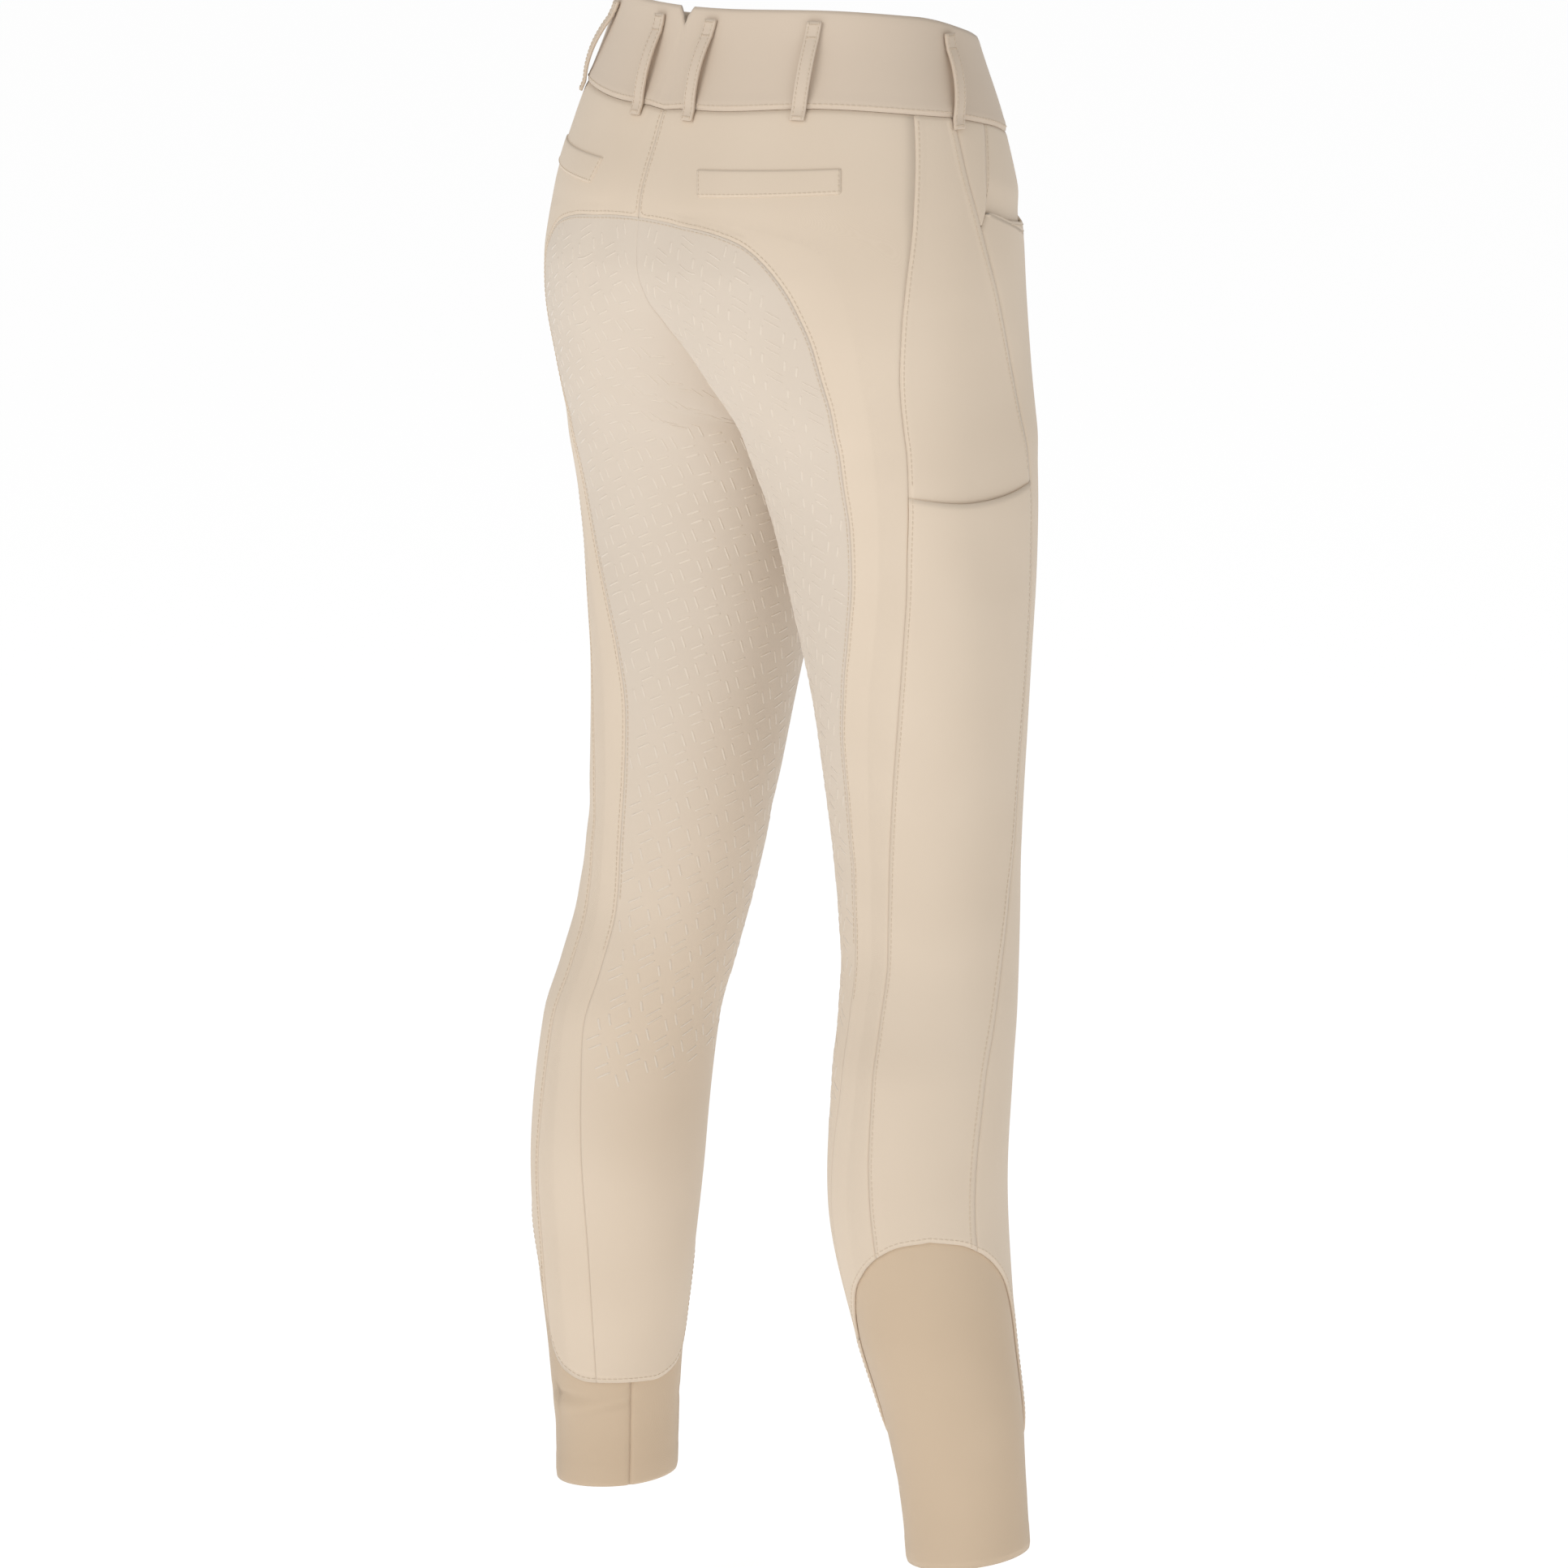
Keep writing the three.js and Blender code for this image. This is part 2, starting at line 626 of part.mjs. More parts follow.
function bandPoint(station, height, depth) {
  const { part, around } = station;
  const place = part === "right" ? -around : around;
  const reach = part === "over" ? 1 : 1 - ease(around / OVERLAP_EASE);
  const over = part === "left" ? 0 : reach * (BAND_WALL + LAYER_GAP);
  const middleX = Math.abs(plainPoint(around, 0)[0]);
  const isBack = around > 0.9;
  const notch = isBack ? NOTCH_DEPTH * Math.max(0, 1 - (middleX / NOTCH_HALF_WIDTH) ** 1.3) : 0;
  const z = mix(bandSeam(around) + BAND_GAP / 2, bandTop(around) - notch, height);
  return clothPoint(place, z, BAND_OUT + over - depth);
}

function addWaistband() {
  const heights = [0, 0.35, 0.7, 1];
  const stations = bandStations();
  const layer = (depth) => heights.map((height) => {
    return stations.map((station) => bandPoint(station, height, depth));
  });
  addWall("waistband", "left", CLOTH, layer(0), layer(BAND_WALL));
}

function addBeltLoop(row) {
  const [name, side, aroundTop, aroundFoot] = row;
  const steps = 8;
  const layer = (depth) => {
    const grid = [];
    for (let i = 0; i <= steps; i++) {
      const part = i / steps;
      const around = mix(aroundTop, aroundFoot, part);
      const z = mix(bandTop(aroundTop) - LOOP_BELOW_TOP, bandSeam(aroundFoot) - LOOP_PAST_SEAM, part);
      const rise = LOOP_STAND_OFF * Math.sin(Math.PI * clamp01((part - 0.12) / 0.76)) ** 0.8;
      const out = BAND_OUT + LAYER_GAP + LOOP_WALL + rise - depth;
      const middle = clothPoint(around, z, out);
      const ahead = clothPoint(around + 0.004, z, out).sub(middle).normalize();
      grid.push([-1, 0, 1].map((sideways) => {
        return middle.clone().addScaledVector(ahead, sideways * LOOP_HALF_WIDTH);
      }));
    }
    return grid;
  };
  addWall(`belt_loop_${name}`, side, CLOTH, layer(0), layer(LOOP_WALL));
}

function addFly() {
  const rows = 8;
  const columns = 6;
  const layer = (out) => {
    const grid = [];
    for (let i = 0; i <= rows; i++) {
      const part = i / rows;
      const cut = part < 0.7 ? 0 : ((part - 0.7) / 0.3) ** 2 * 0.85;
      const rightEdge = FLY.rightAround * (1 - cut);
      const points = [];
      for (let j = 0; j <= columns; j++) {
        const around = mix(-rightEdge, FLY.leftAround, j / columns);
        const z = bandSeam(Math.abs(around)) - BAND_GAP / 2 - FLY.length * part;
        points.push(clothPoint(around, z, out));
      }
      grid.push(points);
    }
    return grid;
  };
  addWall("fly_placket", "left", CLOTH, layer(FLY.gap + CLOTH_WALL), layer(FLY.gap));
}

function addButton() {
  const half = BUTTON_THICK / 2;
  const profile = [
    [0, -half], [BUTTON_RADIUS - 1, -half], [BUTTON_RADIUS, -half + 1], [BUTTON_RADIUS, half - 0.8],
    [BUTTON_RADIUS - 0.8, half], [BUTTON_RADIUS - 2.2, half - 0.7], [0, half - 0.9],
  ].map(([x, y]) => new THREE.Vector2(x, y));
  const mesh = new THREE.Mesh(new THREE.LatheGeometry(profile, 24), BUTTON);
  const z = mix(bandSeam(BUTTON_AROUND), bandTop(BUTTON_AROUND), 0.5);
  const surface = BAND_OUT + BAND_WALL + LAYER_GAP;
  const foot = clothPoint(BUTTON_AROUND, z, surface);
  const head = clothPoint(BUTTON_AROUND, z, surface + 1);
  const normal = head.sub(foot).normalize();
  mesh.position.copy(foot.addScaledVector(normal, half + LAYER_GAP));
  mesh.quaternion.setFromUnitVectors(new THREE.Vector3(0, 1, 0), normal);
  mesh.name = "button";
  group.add(mesh);
}

addWaistband();
for (const side of ["left", "right"]) {
  addBackPanel(side);
  addSeatPanel(side);
  addSidePanels(side);
  addHipPieces(side);
  addFrontPanel(side);
  addWelt(side);
  addCuff(side);
}
for (const row of LOOPS.rows) addBeltLoop(row);
addFly();
addButton();

export default group;
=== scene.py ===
"""Riding breeches in worn shape, built from the same sections and seams as the solids.

Tables are in millimetres and everything is made in metres. Z is up, the front faces -Y and
the wearer's left is +X. A place on the cloth is "around" and z. Around runs from 0 at
centre front over the hip at 0.5 to 1 at centre back. On a leg 0 and 1 are the innermost line.
"""

import math

import bpy
import numpy as np
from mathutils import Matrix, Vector
from mathutils.kdtree import KDTree


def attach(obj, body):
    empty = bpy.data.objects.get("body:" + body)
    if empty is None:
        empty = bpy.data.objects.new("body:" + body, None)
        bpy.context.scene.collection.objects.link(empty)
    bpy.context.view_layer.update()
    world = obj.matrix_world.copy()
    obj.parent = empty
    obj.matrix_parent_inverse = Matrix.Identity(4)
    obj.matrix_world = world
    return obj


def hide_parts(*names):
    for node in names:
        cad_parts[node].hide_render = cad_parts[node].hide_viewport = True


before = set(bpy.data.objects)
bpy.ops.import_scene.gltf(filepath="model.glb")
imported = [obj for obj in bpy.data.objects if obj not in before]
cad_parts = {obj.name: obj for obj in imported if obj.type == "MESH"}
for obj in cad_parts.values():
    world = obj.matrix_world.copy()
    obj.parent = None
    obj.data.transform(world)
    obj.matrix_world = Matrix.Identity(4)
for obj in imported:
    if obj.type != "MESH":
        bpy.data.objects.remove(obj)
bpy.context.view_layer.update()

MM = 0.001
CLOTH_WALL = 1.4
BAND_WALL = 2.4
CUFF_WALL = 1.2
WELT_WALL = 1.3
LOOP_WALL = 1.8
SEAM_SLIT = 0.06
MIDDLE_GAP = 0.01
MIDDLE_REACH = 1.0
BAND_GAP = 0.3
LAYER_GAP = 0.35
LAYER_STEP = CLOTH_WALL + LAYER_GAP
TUCK_STEP = CLOTH_WALL + 1.2

# z, lobe, outer, inner front, inner back, front, middle, back, round front, round back
SECTIONS = [
    [25, 0, 120, -400, -400, -91, 0, 84, 2.1, 2.1],
    [-5, 4, 128, -400, -400, -95, 0, 91, 2.1, 2.1],
    [-62, 18, 150, -400, -400, -105, 2, 112, 2.1, 1.95],
    [-105, 34, 161, -340, -390, -107, 4, 127, 2.1, 1.8],
    [-140, 46, 166, -280, -330, -107, 7, 130, 2.05, 1.75],
    [-160, 52, 167, -245, -140, -108, 8, 127, 2, 1.75],
    [-178, 58, 167, -215, -60, -108, 9, 122, 2, 1.75],
    [-205, 66, 166, -120, -24, -109, 10, 111, 2, 1.75],
    [-240, 78, 165, -8, -4, -109, 8, 92, 2, 1.85],
    [-250, 81, 165, 0, 0, -109, 7, 86, 2, 1.9],
    [-270, 85, 165, 3, 3, -107, 5, 78, 2, 2],
    [-300, 91, 165, 9, 9, -104, 2, 68, 2, 2],
    [-350, 97, 167, 19, 19, -96, -4, 58, 2, 2],
    [-425, 105, 168, 37, 37, -82, -10, 50, 2, 2],
    [-500, 114, 170, 51, 51, -70, -9, 47, 2, 2],
    [-565, 123, 176, 65, 65, -61, -3, 49, 2, 2],
    [-605, 129, 182, 73, 73, -53, 4, 59, 2, 2],
    [-640, 134, 187, 79, 79, -45, 13, 70, 2, 2],
    [-720, 138, 191, 84, 84, -37, 20, 78, 2, 2],
    [-800, 147, 197, 98, 98, -35, 14, 66, 2, 2],
    [-865, 157, 200, 114, 114, -38, 5, 51, 2, 2],
    [-930, 161, 199, 124, 124, -39, 1, 41, 2, 2],
    [-990, 166, 203, 130, 130, -41, -1, 39, 2, 2],
]
SECTION_NAMES = [
    "lobe", "outer", "inner_front", "inner_back", "front", "middle", "back",
    "round_front", "round_back",
]
FRONT_LOBE = 0.22
HIP = 0.5
BACK_LOBE = 0.78
CROTCH_Z = -250

# around, top, seam
WAIST = [
    [0, -20, -74], [0.2, -18, -73], [0.3, -13, -69], [0.38, -7, -64], [0.43, 0, -57],
    [0.52, 12, -47], [0.64, 17, -41], [0.75, 15, -45.5], [1, 13, -47.5],
]
SIDE_SAG = 11
SAG_AROUND = 0.475
SAG_SPREAD = 0.085
NOTCH_HALF_WIDTH = 8.5
NOTCH_DEPTH = 9.5
NOTCH_POWER = 1.1

# side z, seat around, seat z, back middle z, front middle z, inner around
ROWS = [
    [-50, 1, -52, -52, -74, 0],
    [-66, 1, -72, -72, -95, 0],
    [-82, 1, -93, -93, -114, 0],
    [-96, 1, -112, -112, -131, 0],
    [-107, 0.92, -112.4, -120, -144, 0],
    [-116, 0.84, -113, -130, -156, 0],
    [-126, 0.77, -114.5, -142, -168, 0],
    [-138, 0.722, -121, -156, -181, 0],
    [-154, 0.695, -135, -171, -194, 0],
    [-176, 0.676, -157, -188, -207, 0],
    [-200, 0.667, -187, -206, -220, 0],
    [-226, 0.67, -218, -226, -235, 0],
    [-252, 0.684, -247, -250, -250, 0],
    [-278, 0.697, -276, -275, -275, 0.03],
    [-305, 0.709, -304, -303, -303, 0.057],
    [-335, 0.725, -334, -334, -334, 0.08],
    [-370, 0.752, -370, -369, -369, 0.095],
    [-405, 0.78, -405, -405, -405, 0.106],
    [-440, 0.795, -440, -440, -440, 0.114],
    [-480, 0.799, -480, -480, -480, 0.12],
    [-520, 0.803, -520, -520, -520, 0.125],
    [-560, 0.812, -560, -560, -560, 0.128],
    [-600, 0.817, -600, -600, -600, 0.13],
    [-640, 0.82, -640, -640, -640, 0.13],
]
ROW_NAMES = ["side", "seat_around", "seat_z", "back_middle", "front_middle", "inner_around"]
CORNER_ROW = 3
JOINT_ROW = 5
CROTCH_ROW = 12
SIDE_POCKET_ROW = 13
CALF_ROW = 23
LAST_ROW = 28
CALF_Z = -640

# z, around
SEAMS = {
    "back_side": [
        [-44, 0.545], [-110, 0.555], [-170, 0.57], [-236, 0.5875], [-280, 0.605],
        [-324, 0.6275], [-424, 0.6775], [-526, 0.72], [-614, 0.738], [-678, 0.736],
        [-740, 0.728], [-870, 0.73],
    ],
    "front_side": [
        [-44, 0.498], [-82, 0.4925], [-116, 0.479], [-172, 0.445], [-230, 0.4075],
        [-278, 0.383], [-340, 0.381], [-408, 0.395], [-506, 0.422], [-578, 0.465],
        [-636, 0.49], [-702, 0.506], [-870, 0.52],
    ],
    "upright": [[-50, 0.445], [-88, 0.463], [-104, 0.469], [-116, 0.479]],
    "seat_low": [[-600, 0.817], [-640, 0.82], [-682, 0.832], [-760, 0.848], [-880, 0.86]],
    "inner_low": [[-640, 0.13], [-760, 0.13], [-880, 0.13]],
}

# row, around, z, under around, under z
FRONT_POCKET = [
    [0, 0.225, -73, 0.2, -73],
    [1, 0.242, -93, 0.217, -101],
    [2, 0.285, -110, 0.268, -122],
    [3, 0.35, -120, 0.345, -132],
    [4, 0.43, -114, 0.43, -128],
    [4.6, 0.466, -107, 0.46, -119],
    [5, 0.479, -116, 0.472, -115],
]
STRIP_LAST_ROW = 4.8

# away, z
ARCH = [
    [0, -736], [0.06, -739], [0.11, -746], [0.15, -755], [0.19, -768], [0.215, -782],
    [0.235, -797], [0.255, -823], [0.265, -846], [0.28, -860], [0.31, -870], [0.36, -876],
    [0.6, -876],
]
ARCH_MIDDLE = {"left": 0.41, "right": 0.61}
ARCH_STRETCH = {"left": 1.2, "right": 1}
HEM_Z = -942.5
HEM_TILT = 4
HEM_LOW_AROUND = 0.8
HEM_FLARE = 1.6
CUFF_GAP = 0.12
CUFF_UNDER = 8
CUFF_SEAM_AROUND = 0.9325

SIDE_POCKET_DIP = 6
SIDE_POCKET_TUCK = 14
SIDE_POCKET_EASE = 45
SIDE_POCKET_GAPE = 0.8
SIDE_POCKET_LIP = 26
HIP_TUCK_START = 3
HIP_TUCK_EASE = 20
WELT = {"inner": 0.755, "outer": 0.62, "top_inner": -80, "top_outer": -76, "depth": 16,
        "outer_depth": 15, "sunk": 0.75}

# name, around at the top and the foot on the left, the same on the right
LOOPS = [
    ["back", 0.752, 0.77, 0.748, 0.768],
    ["hip", 0.66, 0.63, 0.64, 0.66],
    ["side", 0.475, 0.495, 0.475, 0.495],
    ["front", 0.27, 0.27, 0.27, 0.27],
]
LOOP_HALF_WIDTH = 4.5
LOOP_BELOW_TOP = 7
LOOP_PAST_SEAM = 7
LOOP_STAND_OFF = 4.2
LOOP_TACK = 10
LOOP_SEAM = 0.68
# Across a loop: share of the half width, and height
LOOP_PROFILE = [(-1, -0.42), (-0.93, -0.06), (-0.62, 0.06), (0, 0), (0.62, 0.06), (0.93, -0.06),
                (1, -0.42)]

BAND_OUT = 0.7
BAND_DEPTH = 60.0
BAND_SEAM_UP = 2.6
BAND_ROWS = 22
BAND_END = 0.004
BAND_BACK = 0.72
OVERLAP_COLUMNS = 15
OVERLAP_AROUND = 0.085
OVERLAP_EASE = 0.09
FLY = {"right": 0.09, "left": 0.012, "length": 104, "gap": 0.8, "seams": (2.2, 24.0)}
BUTTON_AROUND = 0.045

# Grip print: pairs of short dashes that change direction from cell to cell.
GRIP_CELL = 13.8
GRIP_LENGTH = 8.9
GRIP_WIDTH = 1.4
GRIP_APART = 3.25
GRIP_HEIGHT = 0.24
GRIP_TURN = math.radians(20)
GRIP_MARGIN = 5.0
GRIP_TOP = -112.0
GRIP_FOOT = -690
GRIP_FIRST_AROUND = 0.6
GRIP_LAST_AROUND = 0.965
# z, around of the print's inner limit
GRIP_INNER = [[-640, 1.13], [-520, 1.125], [-405, 1.106], [-335, 1.08], [-278, 1.03], [-250, 1.0]]
# around, z of the print's foot
GRIP_FEET = [[0.8, -676], [0.84, -682], [0.94, -678], [1.07, -668], [1.2, -655]]

# Cloth folds: side, around and z at each end, half width, height (a groove is below zero)
FOLDS = [
    ["left", 0.81, -221, 0.95, -250, 7, -1.7],
    ["left", 0.80, -206, 0.93, -232, 15, 1.3],
    ["right", 0.82, -224, 0.94, -248, 11, -0.7],
    ["both", 0.80, -236, 0.93, -268, 16, 0.8],
    ["left", 0.60, -505, 0.74, -516, 12, -1.0],
    ["left", 0.62, -538, 0.76, -552, 13, -0.8],
    ["right", 0.86, -508, 0.72, -520, 13, -0.8],
    ["right", 0.88, -540, 0.76, -556, 13, -0.6],
    ["both", 0.40, -520, 0.54, -534, 13, -0.6],
    ["both", 0.06, -500, 0.18, -512, 13, -0.9],
    ["both", 0.10, -182, 0.20, -168, 17, -0.5],
    ["both", 0.04, -214, 0.13, -198, 14, -0.8],
    ["both", 0.14, -240, 0.05, -222, 10, -1.2],
    ["left", 0.66, -889, 0.82, -887, 2.6, -1.5],
    ["left", 0.80, -899, 0.935, -889, 2.4, -1.2],
    ["left", 0.72, -897, 0.90, -893, 4.5, 1.0],
    ["right", 0.86, -896, 0.98, -890, 4.0, -0.8],
    ["both", 0.10, -890, 0.28, -897, 4.0, -0.7],
    ["both", 0.16, -912, 0.32, -905, 5.0, 0.6],
    ["both", 0.56, -905, 0.72, -914, 8.0, -0.4],
]

FOLD_REACH = 3.5
FOLD_FADE = 0.55
FOLD_END = 1.6

# Edge rolls: edge, depth, width. Ridges: edge, height, start, end.
# Seams: edge, distance, and the first and last share of the edge that is sewn.
TOP_ROLL = ("top", 0.5, 1.1)
LEG_RIDGE = ("foot", 0.3, 0.6, 6.0)
LEG_SEAM = ("foot", 2.6)
SIDE_ROLLS = [("left", 0.3, 0.9), ("right", 0.5, 1.0)]
SIDE_RIDGES = [("left", 0.5, 0.6, 5.0), ("right", 0.25, 1.0, 5.0)]
EDGE_STEP = 1.5
RIDGE_RISE = 1.2
RIDGE_FALL = 1.6

ROW_STEP = 1 / 6
SEAT_ROW_COUNT = 236
SEAT_TOP = 0.12
CUFF_ROW_COUNT = 44
COLUMNS = {"back": 34, "seat": 104, "side": 24, "front": 62, "strip": 8, "facing": 34,
           "cuff": 120}
TOP_FADE_ROWS = 3
FOOT_FADE_ROWS = 5
STITCH_LENGTH = 2.7
STITCH_PITCH = 3.4
STITCH_RADIUS = 0.3
STITCH_SIDES = 6
STITCH_LONGEST_STEP = 14

FLOOR_Z = -1.03
FLOOR_SIZE = 60.0
FLOOR_TONE = 0.94
FLOOR_GLOW = 0.55
WORLD_STRENGTH = 0.46
LIGHT_AIM = (0, 0, -0.45)
CAMERA_AIM = (0, 0, -0.48)
CAMERA_AZIMUTH = 227
CAMERA_ELEVATION = 9.6
CAMERA_DISTANCE = 8
SENSOR = 36
PHOTO_WIDTH = 1932
FOCAL_PIXELS = 15800


def smooth_curve(keys, values):
    """A smooth curve through a table's points that never overshoots them."""
    order = np.argsort(np.array(keys, float), kind="stable")
    x = np.array(keys, float)[order]
    y = np.array(values, float)[order]
    slope = np.diff(y) / np.diff(x)
    tangent = np.zeros(len(x))
    tangent[0] = slope[0]
    tangent[-1] = slope[-1]
    product = slope[:-1] * slope[1:]
    total = np.where(product > 0, slope[:-1] + slope[1:], 1)
    tangent[1:-1] = np.where(product > 0, 2 * product / total, 0)

    def curve(at):
        at = np.clip(np.asarray(at, float), x[0], x[-1])
        i = np.clip(np.searchsorted(x, at, side="right") - 1, 0, len(x) - 2)
        step = x[i + 1] - x[i]
        t = (at - x[i]) / step
        t2 = t * t
        t3 = t2 * t
        return (
            (2 * t3 - 3 * t2 + 1) * y[i] + (t3 - 2 * t2 + t) * step * tangent[i]
            + (3 * t2 - 2 * t3) * y[i + 1] + (t3 - t2) * step * tangent[i + 1]
        )

    return curve


def curve_of(table, value, key=0):
    """A smooth curve through one column of a table, over another column."""
    return smooth_curve([row[key] for row in table], [row[value] for row in table])


section = {name: curve_of(SECTIONS, i + 1) for i, name in enumerate(SECTION_NAMES)}
band_top = curve_of(WAIST, 1)
band_seam = curve_of(WAIST, 2)
row_at = {
    name: smooth_curve(range(len(ROWS)), [row[i] for row in ROWS])
    for i, name in enumerate(ROW_NAMES)
}
seam_around = {name: curve_of(rows, 1) for name, rows in SEAMS.items()}
arch_z = curve_of(ARCH, 1)
pocket_around = curve_of(FRONT_POCKET, 1)
pocket_z = curve_of(FRONT_POCKET, 2)
under_around = curve_of(FRONT_POCKET, 3)
under_z = curve_of(FRONT_POCKET, 4)
pocket_line = curve_of(FRONT_POCKET, 2, 1)


def top_z(around):
    """The band's top edge, which sags a little at the wearer's left hip."""
    a = np.abs(around)
    sag = np.exp(-(((a - SAG_AROUND) / SAG_SPREAD) ** 2))
    return band_top(a) - np.where(np.asarray(around) < 0, 0, SIDE_SAG * sag)


def mix(p, q, t):
    return p + (q - p) * t


def ease(t):
    t = np.clip(t, 0, 1)
    return t * t * (3 - 2 * t)


def unit(vectors):
    return vectors / np.maximum(np.linalg.norm(vectors, axis=-1, keepdims=True), 1e-9)


def plain_xy(around, z):
    """The section's outer line at this place, on the wearer's left half."""
    a = np.where(around > 1, around - 1, around)
    at = {name: curve(z) for name, curve in section.items()}
    lobe = at["lobe"]
    middle = at["middle"]
    is_inner_front = a < FRONT_LOBE
    is_inner_back = a > BACK_LOBE
    is_front = a < HIP

    part = np.where(is_inner_front, 1 - a / FRONT_LOBE, (a - BACK_LOBE) / (1 - BACK_LOBE))
    inner = np.where(is_inner_front, at["inner_front"], at["inner_back"])
    far = np.where(is_inner_front, at["front"], at["back"])
    reach = np.maximum(lobe - inner, 1e-6)
    end = np.where(inner < 0, np.arcsin(np.clip(lobe / reach, 0, 1)), np.pi / 2)
    turn = np.clip(part, 0, 1) * end
    inner_x = lobe - reach * np.sin(turn)
    inner_y = mix(middle, far, np.cos(turn))

    front_turn = (a - FRONT_LOBE) / (HIP - FRONT_LOBE)
    back_turn = (BACK_LOBE - a) / (BACK_LOBE - HIP)
    turn = np.clip(np.where(is_front, front_turn, back_turn), 0, 1) * np.pi / 2
    power = np.where(is_front, at["round_front"], at["round_back"])
    c = np.abs(np.cos(turn))
    s = np.abs(np.sin(turn))
    r = (c ** power + s ** power) ** (-1 / power)
    far = np.where(is_front, at["front"], at["back"])
    outer_x = lobe + (at["outer"] - lobe) * r * s
    outer_y = mix(middle, far, r * c)

    is_inner = is_inner_front | is_inner_back
    return np.where(is_inner, inner_x, outer_x), np.where(is_inner, inner_y, outer_y)


def frame_at(around, z):
    """Point, outward normal, and the surface's change per unit of around and of z."""
    step = 0.002
    is_body = z > CROTCH_Z
    low = np.where(is_body, np.maximum(around - step, 0), (around - step) % 1.0)
    high = np.where(is_body, np.minimum(around + step, 1), around + step)
    x, y = plain_xy(around, z)
    xl, yl = plain_xy(low, z)
    xh, yh = plain_xy(high, z)
    xu, yu = plain_xy(around, z + 1)
    xd, yd = plain_xy(around, z - 1)
    width = np.where(high < low, high + 1 - low, high - low)
    width = np.maximum(np.where(width > 0.5, 2 * step, width), 1e-9)
    along = np.stack([(xh - xl) / width, (yh - yl) / width, np.zeros_like(xh)], -1)
    up = np.stack([(xu - xd) / 2, (yu - yd) / 2, np.ones_like(xu)], -1)
    return np.stack([x, y, z + 0 * x], -1), unit(np.cross(along, up)), along, up


def fold_height(around, z, side):
    """Soft folds: each is a rounded ridge or groove along a short line on the cloth."""
    around, z = np.broadcast_arrays(around, z)
    height = np.zeros(around.shape)
    for fold_side, a0, z0, a1, z1, half, rise in FOLDS:
        if fold_side not in ("both", side):
            continue
        near = np.abs(z - (z0 + z1) / 2) < abs(z0 - z1) / 2 + FOLD_REACH * half
        if not np.any(near):
            continue
        a_middle = (a0 + a1) / 2
        z_middle = (z0 + z1) / 2
        _, _, along, _ = frame_at(np.array([a_middle]), np.array([z_middle]))
        scale = float(np.linalg.norm(along[0]))
        gap = around[near] - a_middle
        if z_middle < CROTCH_Z:
            gap = (gap + 0.5) % 1.0 - 0.5
        u = gap * scale
        v = z[near] - z_middle
        half_u = (a1 - a0) / 2 * scale
        half_v = (z1 - z0) / 2
        length = math.hypot(half_u, half_v)
        place = (u * half_u + v * half_v) / length
        aside = (v * half_u - u * half_v) / length
        beyond = np.maximum(np.abs(place) - length, 0)
        fade = 1 - FOLD_FADE * np.clip(np.abs(place) / length, 0, 1) ** 2
        spread = (aside / half) ** 2 + (beyond / (FOLD_END * half)) ** 2
        height[near] += rise * fade * np.exp(-spread)
    return height


def soft_waves(around, z):
    """The slight unevenness of worn cloth, under half a millimetre."""
    w = around * 2 * np.pi
    return (
        0.22 * np.sin(3 * w + z / 61) * np.sin(z / 47 + 1.3)
        + 0.16 * np.sin(5 * w - z / 38 + 0.7) * np.sin(z / 29)
    )


def cloth(around, z, out=0.0, side="left"):
    """A point of the worn cloth, moved out along its normal. Below zero is the other half."""
    around, z = np.broadcast_arrays(np.asarray(around, float), np.asarray(z, float))
    a = np.abs(around)
    point, normal, _, _ = frame_at(a, z)
    lift = out + fold_height(a, z, side) + soft_waves(a, z)
    made = point + normal * (lift + 0 * a)[..., None]
    made[around < 0, 0] *= -1
    return made


def edge_z(side, around):
    a = np.where(around > 1, around - 1, around)
    away = np.abs(a - ARCH_MIDDLE[side])
    return arch_z(np.minimum(away, 1 - away) / ARCH_STRETCH[side])


def hem_z(around):
    return HEM_Z - HEM_TILT * np.cos(2 * np.pi * (around - HEM_LOW_AROUND))


def seam_end(side, curve):
    z = CALF_Z
    while z > edge_z(side, curve(z)):
        z -= 0.25
    return z


def hip_z(curve, row):
    """Between the first two rows a seam runs up to where it meets the band."""
    if row < 1:
        return mix(band_seam(curve(ROWS[0][0])), row_at["side"](1), row)
    return row_at["side"](row)


def calf_z(end, row):
    """Below the calf row a seam runs evenly down to its end at the leg's edge."""
    return mix(CALF_Z, end, (row - CALF_ROW) / (LAST_ROW - CALF_ROW))


def place_on(curve, z):
    return float(curve(z)), float(z)


def side_seam(side, name):
    curve = seam_around[name]
    end = seam_end(side, curve)

    def seam(row):
        z = calf_z(end, row) if row > CALF_ROW else hip_z(curve, row)
        return place_on(curve, z)

    return seam


def seat_seam(side):
    curve = seam_around["seat_low"]
    end = seam_end(side, curve)

    def seam(row):
        if row <= CALF_ROW:
            return float(row_at["seat_around"](row)), float(row_at["seat_z"](row))
        z = calf_z(end, row)
        return place_on(curve, z)

    return seam


def inner_seam(side, turn, middle):
    curve = seam_around["inner_low"]
    end = seam_end(side, curve)

    def seam(row):
        if row <= CROTCH_ROW:
            return turn, float(row_at[middle](row))
        if row <= CALF_ROW:
            return turn + float(row_at["inner_around"](row)), float(row_at[middle](row))
        z = calf_z(end, row)
        return turn + float(curve(z)), float(z)

    return seam


def front_outer_seam(side):
    seam = side_seam(side, "front_side")

    def outer(row):
        if row < JOINT_ROW:
            return float(pocket_around(row)), float(pocket_z(row))
        return seam(row)

    return outer


def fine_rows(first, last):
    count = max(2, math.ceil((last - first) / ROW_STEP))
    return np.linspace(first, last, count + 1)


